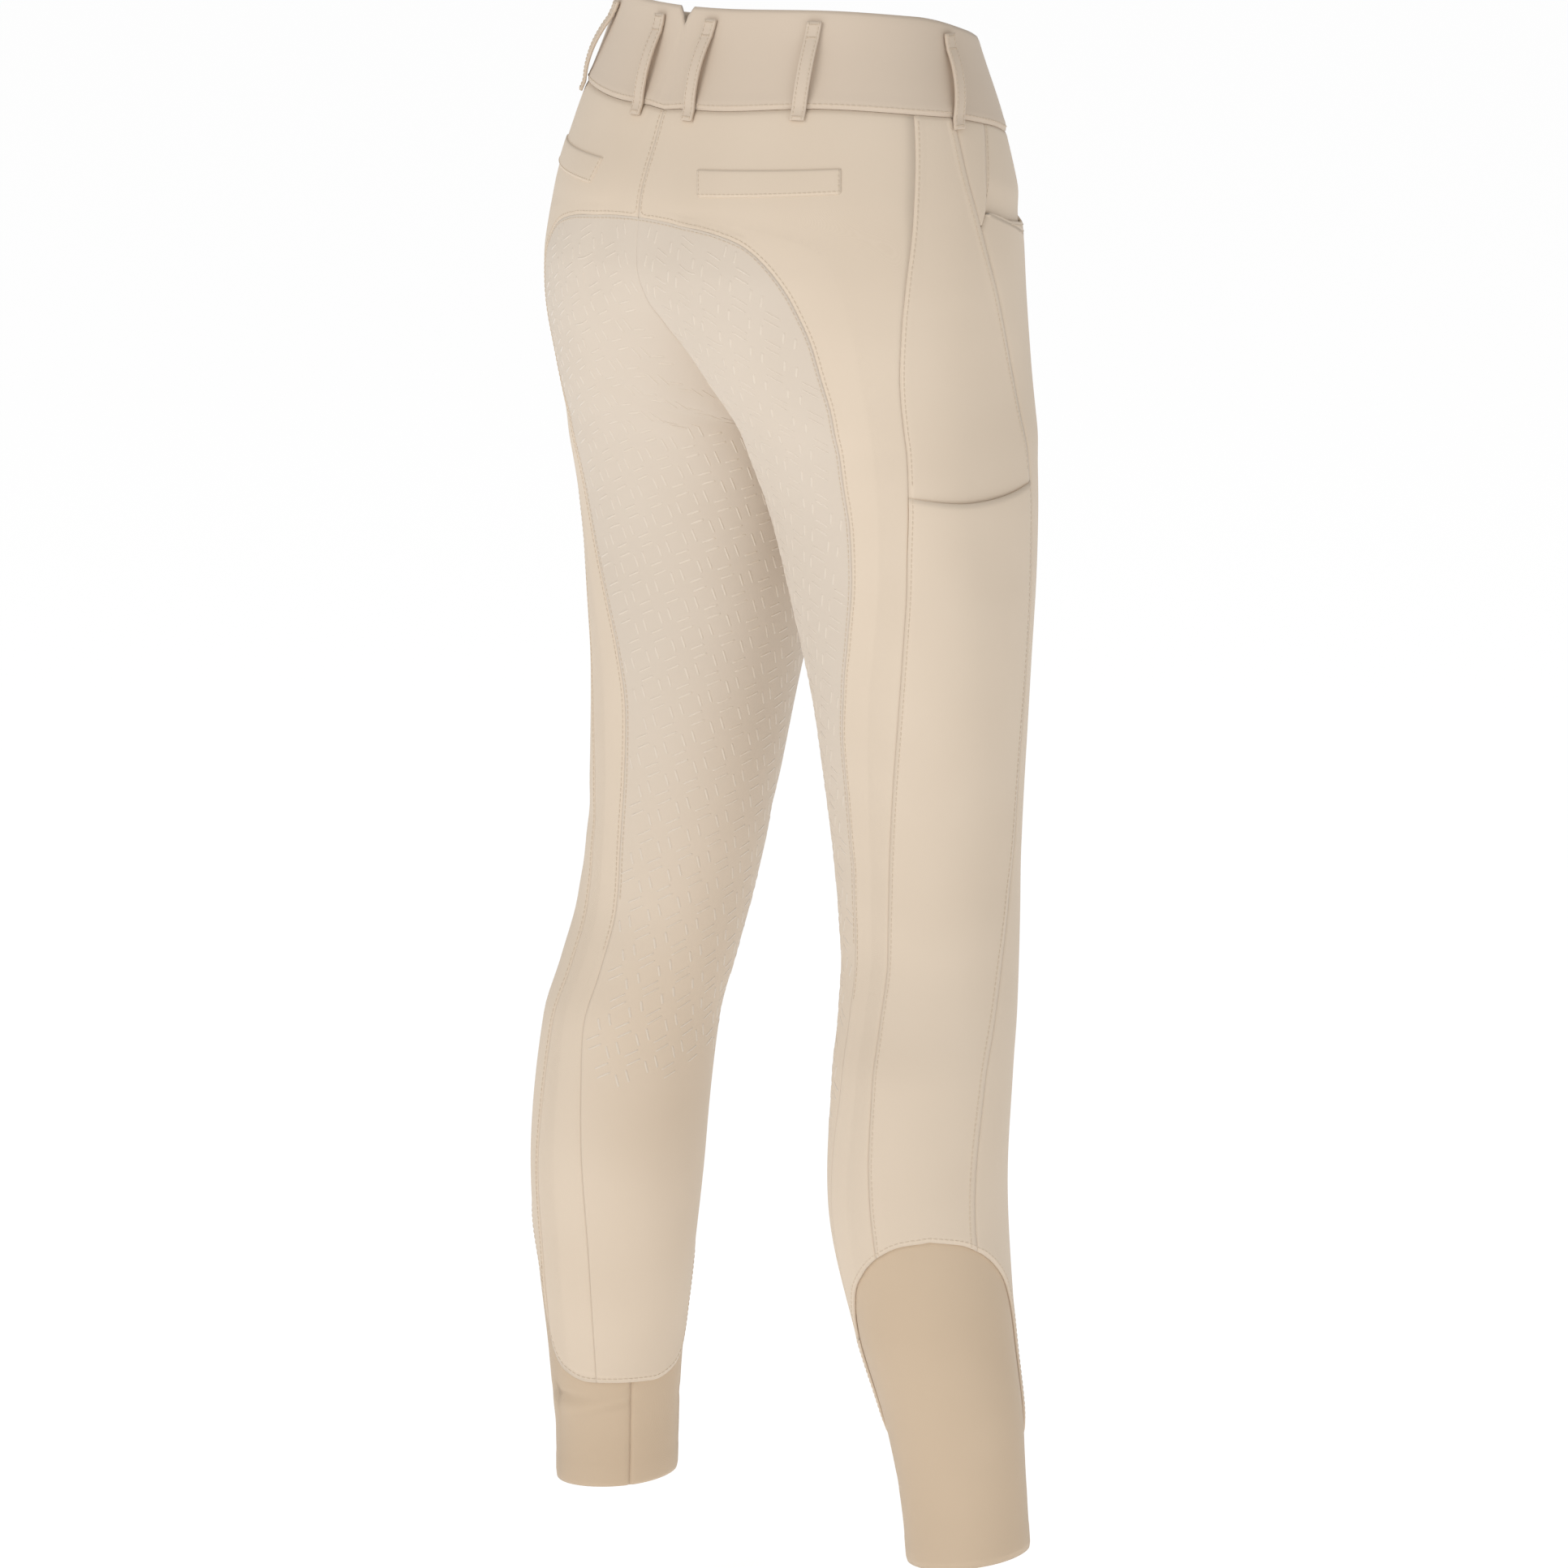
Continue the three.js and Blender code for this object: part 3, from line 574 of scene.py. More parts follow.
class Cloth:
    """A grid of places on one half of the garment, and the heights of its outer surface."""

    def __init__(self, name, side, around, z, wall=CLOTH_WALL, out=0.0):
        self.name = name
        self.side = side
        self.around = around
        self.z = z
        self.wall = wall
        self.out = out + np.zeros(np.shape(around))

    def base(self):
        return frame_at(np.abs(self.around), self.z)[0]

    def edge(self, which):
        base = self.base()
        return {"left": base[:, 0], "right": base[:, -1], "top": base[0], "foot": base[-1]}[which]

    def distance(self, which):
        return distance_to(self.base(), self.edge(which))


def nearest(points, places):
    """Each point's distance from the nearest of some places."""
    tree = KDTree(len(places))
    for i, place in enumerate(places):
        tree.insert(place, i)
    tree.balance()
    near = [tree.find(point)[2] for point in points.reshape(-1, 3)]
    return np.array(near).reshape(points.shape[:-1])


def distance_to(points, line):
    """Each point's distance from a polyline, in millimetres."""
    dense = [line[0]]
    for p, q in zip(line[:-1], line[1:]):
        count = max(1, int(np.linalg.norm(q - p) / EDGE_STEP))
        dense += [mix(p, q, i / count) for i in range(1, count + 1)]
    return nearest(points, dense)


def panel(name, side, left, right, rows, columns, top=None, foot=None, bow=None, lift=None):
    """A panel between two seams, each a function from row to around and z.

    Top and foot give the end lines, where "band" and "leg" name the common ones, bow bends
    the rows, and lift sets the surface's height.
    """
    lines = {"band": lambda a, part: band_seam(a), "leg": lambda a, part: edge_z(side, a)}
    top = lines.get(top, top)
    foot = lines.get(foot, foot)
    first = rows[0]
    last = rows[-1]
    bow = bow or (lambda row: 1)
    part = np.linspace(0, 1, columns + 1)
    around = []
    levels = []
    for row in rows:
        left_around, left_z = left(row)
        right_around, right_z = right(row)
        a = mix(left_around, right_around, part)
        z = mix(left_z, right_z, part ** bow(row))
        if top:
            line = mix(left(first)[1], right(first)[1], part ** bow(first))
            z = z + (top(a, part) - line) * (1 - ease((row - first) / TOP_FADE_ROWS))
        if foot:
            line = mix(left(last)[1], right(last)[1], part)
            z = z + (foot(a, part) - line) * ease((row - last) / FOOT_FADE_ROWS + 1)
        if top and row == first:
            z = z - BAND_GAP / 2
        around.append(a)
        levels.append(z)
    around = np.array(around)
    levels = np.array(levels)
    made = Cloth(f"{name}_{side}", side, around, levels)
    if lift:
        made.out = made.out + lift(around, levels)
    return made


def roll(piece, which, depth, width):
    """Turns an edge down into its seam."""
    distance = piece.distance(which)
    piece.out = piece.out - depth * np.exp(-((distance / width) ** 2))


def ridge(piece, which, height, start, end):
    """The thickness of a seam's turned-in cloth, felt as a low step beside the seam."""
    distance = piece.distance(which)
    rise = ease((distance - start) / RIDGE_RISE) * (1 - ease((distance - end) / RIDGE_FALL))
    piece.out = piece.out + height * rise


def new_mesh(name, vertices, faces, material, uv=None, smooth=True):
    mesh = bpy.data.meshes.new(name)
    mesh.from_pydata(vertices, [], faces)
    mesh.validate()
    mesh.update()
    if uv is not None:
        layer = mesh.uv_layers.new(name="cloth")
        loops = np.zeros(len(mesh.loops), np.int32)
        mesh.loops.foreach_get("vertex_index", loops)
        layer.data.foreach_set("uv", np.asarray(uv, np.float32)[loops].ravel())
    if smooth:
        mesh.polygons.foreach_set("use_smooth", [True] * len(mesh.polygons))
    obj = bpy.data.objects.new(name, mesh)
    bpy.context.scene.collection.objects.link(obj)
    obj.data.materials.append(material)
    return obj


def grid_faces(index):
    """Four-cornered faces between neighbours in a grid of point numbers."""
    corners = index[:-1, :-1], index[:-1, 1:], index[1:, 1:], index[1:, :-1]
    return np.stack(corners, -1).reshape(-1, 4)


def wall_mesh(name, outer, inner, material, mirrored=False):
    """A closed wall of cloth between two grids of points, with lengths in metres as its UVs."""
    rows, columns, _ = outer.shape
    points = np.concatenate([outer.reshape(-1, 3), inner.reshape(-1, 3)]) * MM
    across = np.linalg.norm(np.diff(outer, axis=1), axis=2) * MM
    down = np.linalg.norm(np.diff(outer, axis=0), axis=2) * MM
    u = np.pad(np.cumsum(across, axis=1), ((0, 0), (1, 0)))
    v = np.pad(np.cumsum(down, axis=0), ((1, 0), (0, 0)))
    u = u - u[:, columns // 2][:, None]
    uv = np.stack([u, v], -1).reshape(-1, 2)
    index = np.arange(rows * columns).reshape(rows, columns)
    back = index + rows * columns
    faces = np.concatenate([
        grid_faces(index)[:, [0, 3, 2, 1]],
        grid_faces(back),
        grid_faces(np.stack([index[:, 0], back[:, 0]], 1)),
        grid_faces(np.stack([index[:, -1], back[:, -1]])),
        grid_faces(np.stack([index[0], back[0]])),
        grid_faces(np.stack([index[-1], back[-1]], 1)),
    ])
    if mirrored:
        points[:, 0] *= -1
        faces = faces[:, ::-1]
    return new_mesh(name, points.tolist(), faces.tolist(), material, np.concatenate([uv, uv]))


def pull_in(grid, edge, following):
    """Opens half the seam gap along an edge, and none where it meets the body's middle."""
    along = unit(np.gradient(grid[:, edge], axis=0))
    away = grid[:, following] - grid[:, edge]
    away = unit(away - along * np.sum(away * along, axis=1, keepdims=True))
    grid[:, edge] += away * SEAM_SLIT / 2
    grid[:, edge, 0] = meet_middle(grid[:, edge, 0])


def meet_middle(x):
    """Draws widths under a millimetre to the middle plane and eases back to what they were."""
    drawn = MIDDLE_GAP + np.maximum(0.0, x - MIDDLE_REACH) * 2
    return np.where(x < 2 * MIDDLE_REACH, drawn, x)


def build(piece, material):
    outer = cloth(piece.around, piece.z, piece.out, piece.side)
    inner = cloth(piece.around, piece.z, piece.out - piece.wall, piece.side)
    for grid in (outer, inner):
        pull_in(grid, 0, 1)
        pull_in(grid, -1, -2)
    return wall_mesh(piece.name, outer, inner, material, piece.side == "right")


def material(name, build_nodes):
    made = bpy.data.materials.new(name)
    made.use_nodes = True
    tree = made.node_tree
    shader = next(n for n in tree.nodes if n.type == "BSDF_PRINCIPLED")
    build_nodes(tree, shader)
    return made


def node(tree, kind, **values):
    made = tree.nodes.new(kind)
    for key, value in values.items():
        if hasattr(made, key):
            setattr(made, key, value)
        else:
            made.inputs[key.replace("_", " ")].default_value = value
    return made


def colour_mix(tree, first, second, factor):
    made = node(tree, "ShaderNodeMix", data_type="RGBA")
    made.inputs[6].default_value = (*first, 1)
    made.inputs[7].default_value = (*second, 1)
    tree.links.new(factor, made.inputs[0])
    return made.outputs[2]


def noise(tree, scale, detail):
    place = node(tree, "ShaderNodeTexCoord")
    made = node(tree, "ShaderNodeTexNoise", Scale=scale, Detail=detail)
    tree.links.new(place.outputs["Object"], made.inputs["Vector"])
    return made.outputs["Fac"]


def scaled_sum(tree, value, factor, added):
    made = node(tree, "ShaderNodeMath", operation="MULTIPLY_ADD")
    tree.links.new(value, made.inputs[0])
    made.inputs[1].default_value = factor
    tree.links.new(added, made.inputs[2])
    return made.outputs[0]


def span(tree, value, low, high):
    made = node(tree, "ShaderNodeMapRange", From_Min=low, From_Max=high)
    tree.links.new(value, made.inputs["Value"])
    return made.outputs[0]


def add_bump(tree, shader, height, strength, distance):
    made = node(tree, "ShaderNodeBump", Strength=strength, Distance=distance)
    tree.links.new(height, made.inputs["Height"])
    tree.links.new(made.outputs[0], shader.inputs["Normal"])


def knit(name, light, dark, roughness, sheen, thread, relief, low_light=None, low_dark=None):
    """Fine stretch twill: slanted ribs, a fine grain, and a slow change of tone.

    The low colours take over on the calf, below z -0.64 m, and ease in from z -0.40 m, by the
    object's height alone.
    """

    def nodes(tree, shader):
        link = tree.links.new
        uv = node(tree, "ShaderNodeUVMap", uv_map="cloth")
        turned = node(tree, "ShaderNodeMapping", Rotation=(0, 0, RIB_TURN))
        link(uv.outputs[0], turned.inputs["Vector"])
        ribs = node(
            tree, "ShaderNodeTexWave", wave_type="BANDS", bands_direction="X",
            Scale=1 / (thread * MM) / 3.14, Distortion=0.6, Detail=2, Detail_Scale=3,
        )
        link(turned.outputs[0], ribs.inputs["Vector"])
        weave = scaled_sum(tree, ribs.outputs["Fac"], 0.5, noise(tree, FIBRE_SCALE, 3))
        tone = scaled_sum(tree, weave, 0.35, noise(tree, PATCH_SCALE, 2))
        spread = span(tree, tone, 0.3, 1.15)
        colour = colour_mix(tree, dark, light, spread)
        # Blends towards the low colours by height: fully low below z -0.64 m, none above -0.40 m.
        if low_light:
            place = node(tree, "ShaderNodeTexCoord")
            parts = node(tree, "ShaderNodeSeparateXYZ")
            link(place.outputs["Object"], parts.inputs[0])
            both = node(tree, "ShaderNodeMix", data_type="RGBA")
            link(span(tree, parts.outputs["Z"], *CALF_CHANGE), both.inputs[0])
            link(colour_mix(tree, low_dark, low_light, spread), both.inputs[6])
            link(colour, both.inputs[7])
            colour = both.outputs[2]
        link(colour, shader.inputs["Base Color"])
        add_bump(tree, shader, weave, relief, KNIT_RELIEF)
        shader.inputs["Roughness"].default_value = roughness
        shader.inputs["Sheen Weight"].default_value = sheen
        shader.inputs["Sheen Roughness"].default_value = 0.45
        shader.inputs["Sheen Tint"].default_value = (1.0, 0.96, 0.9, 1)
        shader.inputs["Specular IOR Level"].default_value = 0.3

    return material(name, nodes)


def plain(name, light, dark, roughness, scale, relief, specular=0.5, coat=0.0):
    def nodes(tree, shader):
        grain = noise(tree, scale, 3)
        tree.links.new(colour_mix(tree, dark, light, grain), shader.inputs["Base Color"])
        add_bump(tree, shader, grain, relief, PLAIN_RELIEF)
        shader.inputs["Roughness"].default_value = roughness
        shader.inputs["Specular IOR Level"].default_value = specular
        shader.inputs["Coat Weight"].default_value = coat

    return material(name, nodes)


RIB_TURN = math.radians(58)
FIBRE_SCALE = 2600
PATCH_SCALE = 9
CALF_CHANGE = (-0.64, -0.40)
KNIT_RELIEF = 0.00012
PLAIN_RELIEF = 0.0002
CLOTH_LIGHT = (0.762, 0.642, 0.512)
CLOTH_DARK = (0.692, 0.572, 0.445)
BAND_LIGHT = (0.705, 0.59, 0.475)
BAND_DARK = (0.64, 0.527, 0.415)
GRIP_LIGHT = (0.71, 0.618, 0.52)
GRIP_DARK = (0.642, 0.55, 0.452)
CUFF_LIGHT = (0.655, 0.515, 0.372)
CUFF_DARK = (0.58, 0.445, 0.312)
cloth_material = knit("stretch_twill", CLOTH_LIGHT, CLOTH_DARK, 0.82, 0.22, 0.62, 0.35)
band_material = knit("band_twill", BAND_LIGHT, BAND_DARK, 0.82, 0.22, 0.62, 0.35)
grip_material = knit(
    "grip_twill", GRIP_LIGHT, GRIP_DARK, 0.82, 0.22, 0.62, 0.35, CLOTH_LIGHT, CLOTH_DARK
)
cuff_material = knit("cuff_jersey", CUFF_LIGHT, CUFF_DARK, 0.78, 0.3, 0.5, 0.5)
thread_material = plain("thread", (0.7, 0.585, 0.455), (0.62, 0.51, 0.385), 0.6, 1800, 0.4)
print_material = plain(
    "grip_print", (0.74, 0.645, 0.535), (0.69, 0.59, 0.48), 0.28, 600, 0.1, 0.7, 0.2
)
button_material = plain("button_resin", (0.46, 0.34, 0.22), (0.34, 0.24, 0.15), 0.3, 240, 0.1)


class Stitches:
    """Short rounded stitches gathered into one mesh."""

    def __init__(self):
        self.parts = []

    def add(self, starts, ends, normals):
        self.parts.append(np.stack([starts, ends, normals]))

    def along(self, points, normals, pitch=STITCH_PITCH, length=STITCH_LENGTH, lift=0.02):
        """Stitches spaced evenly along a line of points in millimetres, but not over jumps."""
        steps = np.linalg.norm(np.diff(points, axis=0), axis=1)
        total = np.concatenate([[0], np.cumsum(steps)])
        count = int(total[-1] // pitch)
        if count < 1:
            return
        centres = (np.arange(count) + 0.5) * total[-1] / count

        def at(distance, values):
            return np.stack([np.interp(distance, total, values[:, k]) for k in range(3)], -1)

        step = steps[np.clip(np.searchsorted(total, centres) - 1, 0, len(steps) - 1)]
        centres = centres[step < STITCH_LONGEST_STEP]
        if len(centres) == 0:
            return
        middle = unit(at(centres, normals))
        starts = at(centres - length / 2, points) + middle * lift
        ends = at(centres + length / 2, points) + middle * lift
        self.add(starts, ends, middle)

    def mesh(self, name, body_material):
        place = np.array([0.0, 0.14, 0.5, 0.86, 1.0])[None, :, None, None]
        size = np.array([0.35, 0.95, 1.15, 0.95, 0.35])[None, :, None, None]
        rings = place.size
        turn = (2 * np.pi * np.arange(STITCH_SIDES) / STITCH_SIDES)[None, None, :, None]
        start, end, normal = np.concatenate(self.parts, axis=1)[:, :, None, None, :]
        step = end - start
        length = np.maximum(np.linalg.norm(step, axis=-1, keepdims=True), 1e-6)
        forward = step / length
        across = unit(np.cross(normal, forward))
        up = np.cross(forward, across)
        middle = start + step * place + up * STITCH_RADIUS * 0.35 * np.sin(np.pi * place)
        rim = (across * np.cos(turn) + up * np.sin(turn) * 0.8) * STITCH_RADIUS * size
        points = (middle + rim).reshape(-1, 3)
        index = np.arange(rings * STITCH_SIDES).reshape(rings, STITCH_SIDES)
        quads = grid_faces(np.concatenate([index, index[:, :1]], axis=1))
        caps = np.array([index[0, ::-1], index[-1]])
        first = (np.arange(len(start)) * index.size)[:, None, None]
        faces = (quads[None] + first).reshape(-1, 4).tolist()
        faces += (caps[None] + first).reshape(-1, STITCH_SIDES).tolist()
        return new_mesh(name, (points * MM).tolist(), faces, body_material)


def piece_line(piece, which, offset, first=0.0, last=1.0):
    """The line on a panel's surface that keeps one distance from an edge."""
    grids = [
        cloth(piece.around, piece.z, piece.out, piece.side),
        frame_at(piece.around, piece.z)[1],
        piece.distance(which),
    ]
    if which in ("top", "foot"):
        grids = [np.swapaxes(grid, 0, 1) for grid in grids]
    if which in ("right", "foot"):
        grids = [grid[:, ::-1] for grid in grids]
    outer, normal, away = grids
    j = np.argmax(away >= offset, axis=1)
    i = np.nonzero(j)[0]
    j = j[i]
    t = (offset - away[i, j - 1]) / np.maximum(away[i, j] - away[i, j - 1], 1e-9)
    lines = mix(outer[i, j - 1], outer[i, j], t[:, None])
    directions = mix(normal[i, j - 1], normal[i, j], t[:, None])
    low = int(first * (len(lines) - 1))
    high = int(last * (len(lines) - 1)) + 1
    return lines[low:high], directions[low:high]


stitches = {"left": Stitches(), "right": Stitches(), "band": Stitches()}
pieces = {}
MIRROR = np.array([-1, 1, 1])


def stitch_line(group, side, points, normals, *spacing):
    if side == "right":
        points = points * MIRROR
        normals = normals * MIRROR
    stitches[group].along(points, normals, *spacing)


def finish(piece, body_material, rolls, ridges=(), seams=()):
    """Shapes a panel's edges, makes its mesh and sews it."""
    for values in rolls:
        roll(piece, *values)
    for values in ridges:
        ridge(piece, *values)
    pieces[piece.name] = build(piece, body_material)
    for edge, offset, *share in seams:
        stitch_line(piece.side, piece.side, *piece_line(piece, edge, offset, *share))


def make_back(side):
    made = panel(
        "back", side, side_seam(side, "back_side"), seat_seam(side),
        fine_rows(0, LAST_ROW), COLUMNS["back"], top="band", foot="leg",
    )
    finish(made, cloth_material, [("left", 0.5, 1.0), ("right", 0.16, 0.8), TOP_ROLL],
           [("right", 0.12, 0.8, 5.2), LEG_RIDGE], [("right", 2.2, 0.0, 0.78), LEG_SEAM])


def make_seat(side):
    made = panel(
        "seat", side, seat_seam(side), inner_seam(side, 1, "back_middle"),
        np.linspace(CORNER_ROW + SEAT_TOP, LAST_ROW, SEAT_ROW_COUNT), COLUMNS["seat"], foot="leg",
    )
    finish(made, grip_material, [("left", 0.16, 0.8), ("right", 0.35, 1.0)], [LEG_RIDGE],
           [("left", 2.0, 0.0, 0.72), LEG_SEAM])
    add_grip(made)


def side_pocket_z(around, part):
    return row_at["side"](SIDE_POCKET_ROW) - SIDE_POCKET_DIP * np.sin(np.pi * part)


def make_sides(side):
    left = side_seam(side, "front_side")
    right = side_seam(side, "back_side")
    level = float(row_at["side"](SIDE_POCKET_ROW))
    step = level - float(row_at["side"](SIDE_POCKET_ROW + 1))
    tuck_row = SIDE_POCKET_ROW + SIDE_POCKET_TUCK / step
    upper = panel(
        "side_upper", side, left, right, fine_rows(0, tuck_row), COLUMNS["side"],
        top="band", foot=lambda a, part: side_pocket_z(a, part) - SIDE_POCKET_TUCK,
    )
    finish(upper, cloth_material, [*SIDE_ROLLS, TOP_ROLL], SIDE_RIDGES,
           [("left", 4.6, 0.02, 0.94), ("right", 2.4, 0.02, 0.94)])

    def lift(a, z):
        below = level - SIDE_POCKET_DIP - SIDE_POCKET_TUCK - z
        mouth = np.sin(np.pi * np.linspace(0, 1, np.shape(a)[1]))[None, :]
        fade = 1 - ease((level - SIDE_POCKET_DIP - z) / SIDE_POCKET_LIP)
        open_edge = SIDE_POCKET_GAPE * mouth * fade
        step = LAYER_STEP * (0.35 + 0.65 * np.sqrt(mouth))
        return step * (1 - ease(below / SIDE_POCKET_EASE)) + open_edge

    lower = panel(
        "side_lower", side, left, right, fine_rows(SIDE_POCKET_ROW, LAST_ROW),
        COLUMNS["side"], top=side_pocket_z, foot="leg", lift=lift,
    )
    finish(lower, cloth_material, [*SIDE_ROLLS, ("top", 0.3, 0.7)], [*SIDE_RIDGES, LEG_RIDGE],
           [("left", 4.6), ("right", 2.4), LEG_SEAM])


def make_front(side):
    made = panel(
        "front", side, inner_seam(side, 0, "front_middle"), front_outer_seam(side),
        np.unique(np.concatenate([fine_rows(0, 6), np.linspace(4, 5, 13), fine_rows(6, LAST_ROW)])),
        COLUMNS["front"], top="band", foot="leg",
        bow=lambda row: 1 + 1.4 * float(ease((JOINT_ROW + 5 - row) / 5)),
    )
    pocket_seams = [("right", 2.4, 0.01, 0.2), ("right", 6.4, 0.01, 0.2)]
    finish(made, cloth_material, [("left", 0.35, 1.0), ("right", 0.5, 1.0), TOP_ROLL],
           [LEG_RIDGE], [LEG_SEAM, *pocket_seams])


def make_hip(side):
    curve = seam_around["upright"]

    def upright(row):
        z = hip_z(curve, row)
        return place_on(curve, z)

    rows = fine_rows(0, STRIP_LAST_ROW)
    strip = panel(
        "hip_strip", side, upright, side_seam(side, "front_side"), rows, COLUMNS["strip"],
        top="band",
    )
    finish(strip, cloth_material, [("left", 0.4, 1.0), ("right", 0.5, 1.0), TOP_ROLL])

    def lift(a, z):
        at = np.linspace(0, JOINT_ROW, 120)
        edge = frame_at(pocket_around(at), pocket_z(at))[0]
        opening = distance_to(frame_at(a, z)[0], edge)
        is_below = (a < float(pocket_around(0))) | (z < pocket_line(a))
        opening = np.where(is_below, -opening, opening)
        return -TUCK_STEP * (1 - ease((opening - HIP_TUCK_START) / HIP_TUCK_EASE))

    def under(row):
        return float(under_around(row)), float(under_z(row))

    facing = panel("hip_facing", side, under, upright, rows, COLUMNS["facing"], "band", lift=lift)
    finish(facing, cloth_material, [("right", 0.4, 1.0), TOP_ROLL], (),
           [("right", 2.2, 0.02, 0.9)])


def make_cuff(side):
    turned = CUFF_SEAM_AROUND + np.linspace(0, 1, COLUMNS["cuff"] + 1)
    around = np.where(turned > 1, turned - 1, turned)
    part = np.linspace(0, 1, CUFF_ROW_COUNT)[:, None]
    z = mix(edge_z(side, around) + CUFF_UNDER, hem_z(around), part)
    around = around[None, :] + 0 * z
    made = Cloth(f"cuff_{side}", side, around, z, CUFF_WALL, -CLOTH_WALL - CUFF_GAP)
    made.out = made.out + HEM_FLARE * ease((part - 0.45) / 0.55)
    finish(made, cuff_material, [("left", 0.45, 1.0), ("right", 0.45, 1.0), ("foot", 0.3, 0.8)],
           [("foot", 0.22, 0.3, 14.0)])


def make_welt(side):
    part = np.linspace(0, 1, 45)[None, :]
    down = np.linspace(0, 1, 12)[:, None]
    top = mix(WELT["top_inner"], WELT["top_outer"], part)
    depth = mix(WELT["depth"], WELT["outer_depth"], part)
    around = mix(WELT["inner"], WELT["outer"], part) + 0 * down
    made = Cloth(f"welt_{side}", side, around, top - depth * down, WELT_WALL)
    made.out = made.out + LAYER_GAP + WELT_WALL - WELT["sunk"]
    edges = ("left", "right", "foot")
    finish(made, cloth_material, [*((edge, 0.6, 0.9) for edge in edges), ("top", 0.3, 0.8)])
    for edge in edges:
        stitch_line(side, side, *piece_line(made, edge, 1.6), 3.0, 2.3)


def grip_lattice(piece):
    """Around, z and direction of every cell of the print that lies well inside the panel."""
    steps = np.arange(-60, 60)
    i, j = np.meshgrid(steps, steps, indexing="ij")
    across = (i * math.cos(GRIP_TURN) - j * math.sin(GRIP_TURN)) * GRIP_CELL
    z = GRIP_TOP - (i * math.sin(GRIP_TURN) + j * math.cos(GRIP_TURN)) * GRIP_CELL
    turn = np.where((i + j) % 2 == 0, GRIP_TURN + math.pi / 2, GRIP_TURN)
    is_level = (z < GRIP_TOP - 1) & (z > GRIP_FOOT)
    across = across[is_level]
    z = z[is_level]
    turn = turn[is_level]
    around = np.full(z.shape, -1.0)
    for k in range(len(z)):
        places = np.linspace(GRIP_FIRST_AROUND, 1.0 if z[k] > CROTCH_Z else 1.22, 120)
        x, y = plain_xy(places, z[k])
        lengths = np.concatenate([[0], np.cumsum(np.hypot(np.diff(x), np.diff(y)))])
        lengths = lengths - np.interp(BACK_LOBE, places, lengths)
        if lengths[0] < across[k] < lengths[-1]:
            around[k] = np.interp(across[k], lengths, places)
    seam_z = piece.z[:, 0]
    order = np.argsort(-seam_z, kind="stable")
    seam = np.interp(-z, -seam_z[order], piece.around[order, 0])
    inner = np.interp(z, *zip(*GRIP_INNER))
    last = np.where(z > CROTCH_Z - 3, GRIP_LAST_AROUND, inner - 0.015)
    foot = np.interp(around, *zip(*GRIP_FEET))
    is_inside = (around > seam) & (around < last) & (z > foot + GRIP_MARGIN)
    from_seam = nearest(frame_at(np.abs(around), z)[0], piece.edge("left"))
    is_kept = is_inside & (from_seam > GRIP_MARGIN + 1.5)
    return around[is_kept], z[is_kept], turn[is_kept]


def add_grip(piece):
    side = piece.side
    around, z, turn = grip_lattice(piece)
    _, normal, along, up = frame_at(around, z)
    scale = np.linalg.norm(along, axis=1, keepdims=True)
    e1 = along / scale
    e2 = np.cross(normal, e1)
    long_way = e1 * np.cos(turn)[:, None] + e2 * np.sin(turn)[:, None]
    wide_way = np.cross(normal, long_way)
    place = np.array([-1, -0.93, -0.62, -0.31, 0, 0.31, 0.62, 0.93, 1])[:, None]
    width = np.array([0.4, 0.85, 1, 1, 1, 1, 1, 0.85, 0.4])[:, None]
    rise = np.array([-0.3, 0.8, 1, 1, 1, 1, 1, 0.8, -0.3])[:, None]
    aside = np.array([-1, -0.72, 0, 0.72, 1])[None, :]
    dome = np.array([-0.3, 0.75, 1, 0.75, -0.3])[None, :]
    s = place * GRIP_LENGTH / 2 + 0 * aside
    t = aside * width * GRIP_WIDTH / 2
    height = np.minimum(rise, dome) * GRIP_HEIGHT
    pair = np.array([-1, 1])[:, None, None] * GRIP_APART
    s = s[None] + 0 * pair
    t = t[None] + pair
    offset = long_way[:, None, None, None, :] * s[..., None]
    offset = offset + wide_way[:, None, None, None, :] * t[..., None]
    da = np.sum(offset * e1[:, None, None, None, :], axis=-1) / scale[:, None, None]
    slope = up / np.sum(up * up, axis=1, keepdims=True)
    dz = np.sum(offset * slope[:, None, None, None, :], axis=-1)
    spot = around[:, None, None, None] + da
    level = z[:, None, None, None] + dz
    spot = np.where(level > CROTCH_Z, np.minimum(spot, 0.999), spot)
    points = cloth(spot, level, height[None, None] + 0 * spot, side)
    quads = grid_faces(np.arange(height.size).reshape(height.shape))
    if side == "right":
        points = points * MIRROR
        quads = quads[:, ::-1]
    first = (np.arange(2 * len(around)) * height.size)[:, None, None]
    faces = (quads[None] + first).reshape(-1, 4).tolist()
    name = f"grip_print_{side}"
    pieces[name] = new_mesh(name, (points.reshape(-1, 3) * MM).tolist(), faces, print_material)


for side in ("left", "right"):
    make_back(side)
    make_seat(side)
    make_sides(side)
    make_front(side)
    make_hip(side)
    make_cuff(side)
    make_welt(side)


def band_places():
    """Around (below zero on the right), the step over the lap, and the notch, by column."""
    back = np.concatenate([np.linspace(BAND_BACK, 0.785, 40), np.linspace(0.80, 1.0, 12)])
    left = np.concatenate([np.linspace(BAND_END, BAND_BACK, 130, endpoint=False), back])
    right = left[-2::-1]
    lap = np.linspace(0, OVERLAP_AROUND, OVERLAP_COLUMNS)
    around = np.concatenate([left, -right, lap])
    reach = np.concatenate([0 * left, 1 - ease(right / OVERLAP_EASE), 0 * lap + 1])
    a = np.abs(around)
    x = np.abs(plain_xy(a, 0 * a)[0])
    depth = np.maximum(0.0, 1 - (x / NOTCH_HALF_WIDTH) ** NOTCH_POWER) * (a > HIP)
    return around, reach * (BAND_WALL + LAYER_GAP), NOTCH_DEPTH * depth


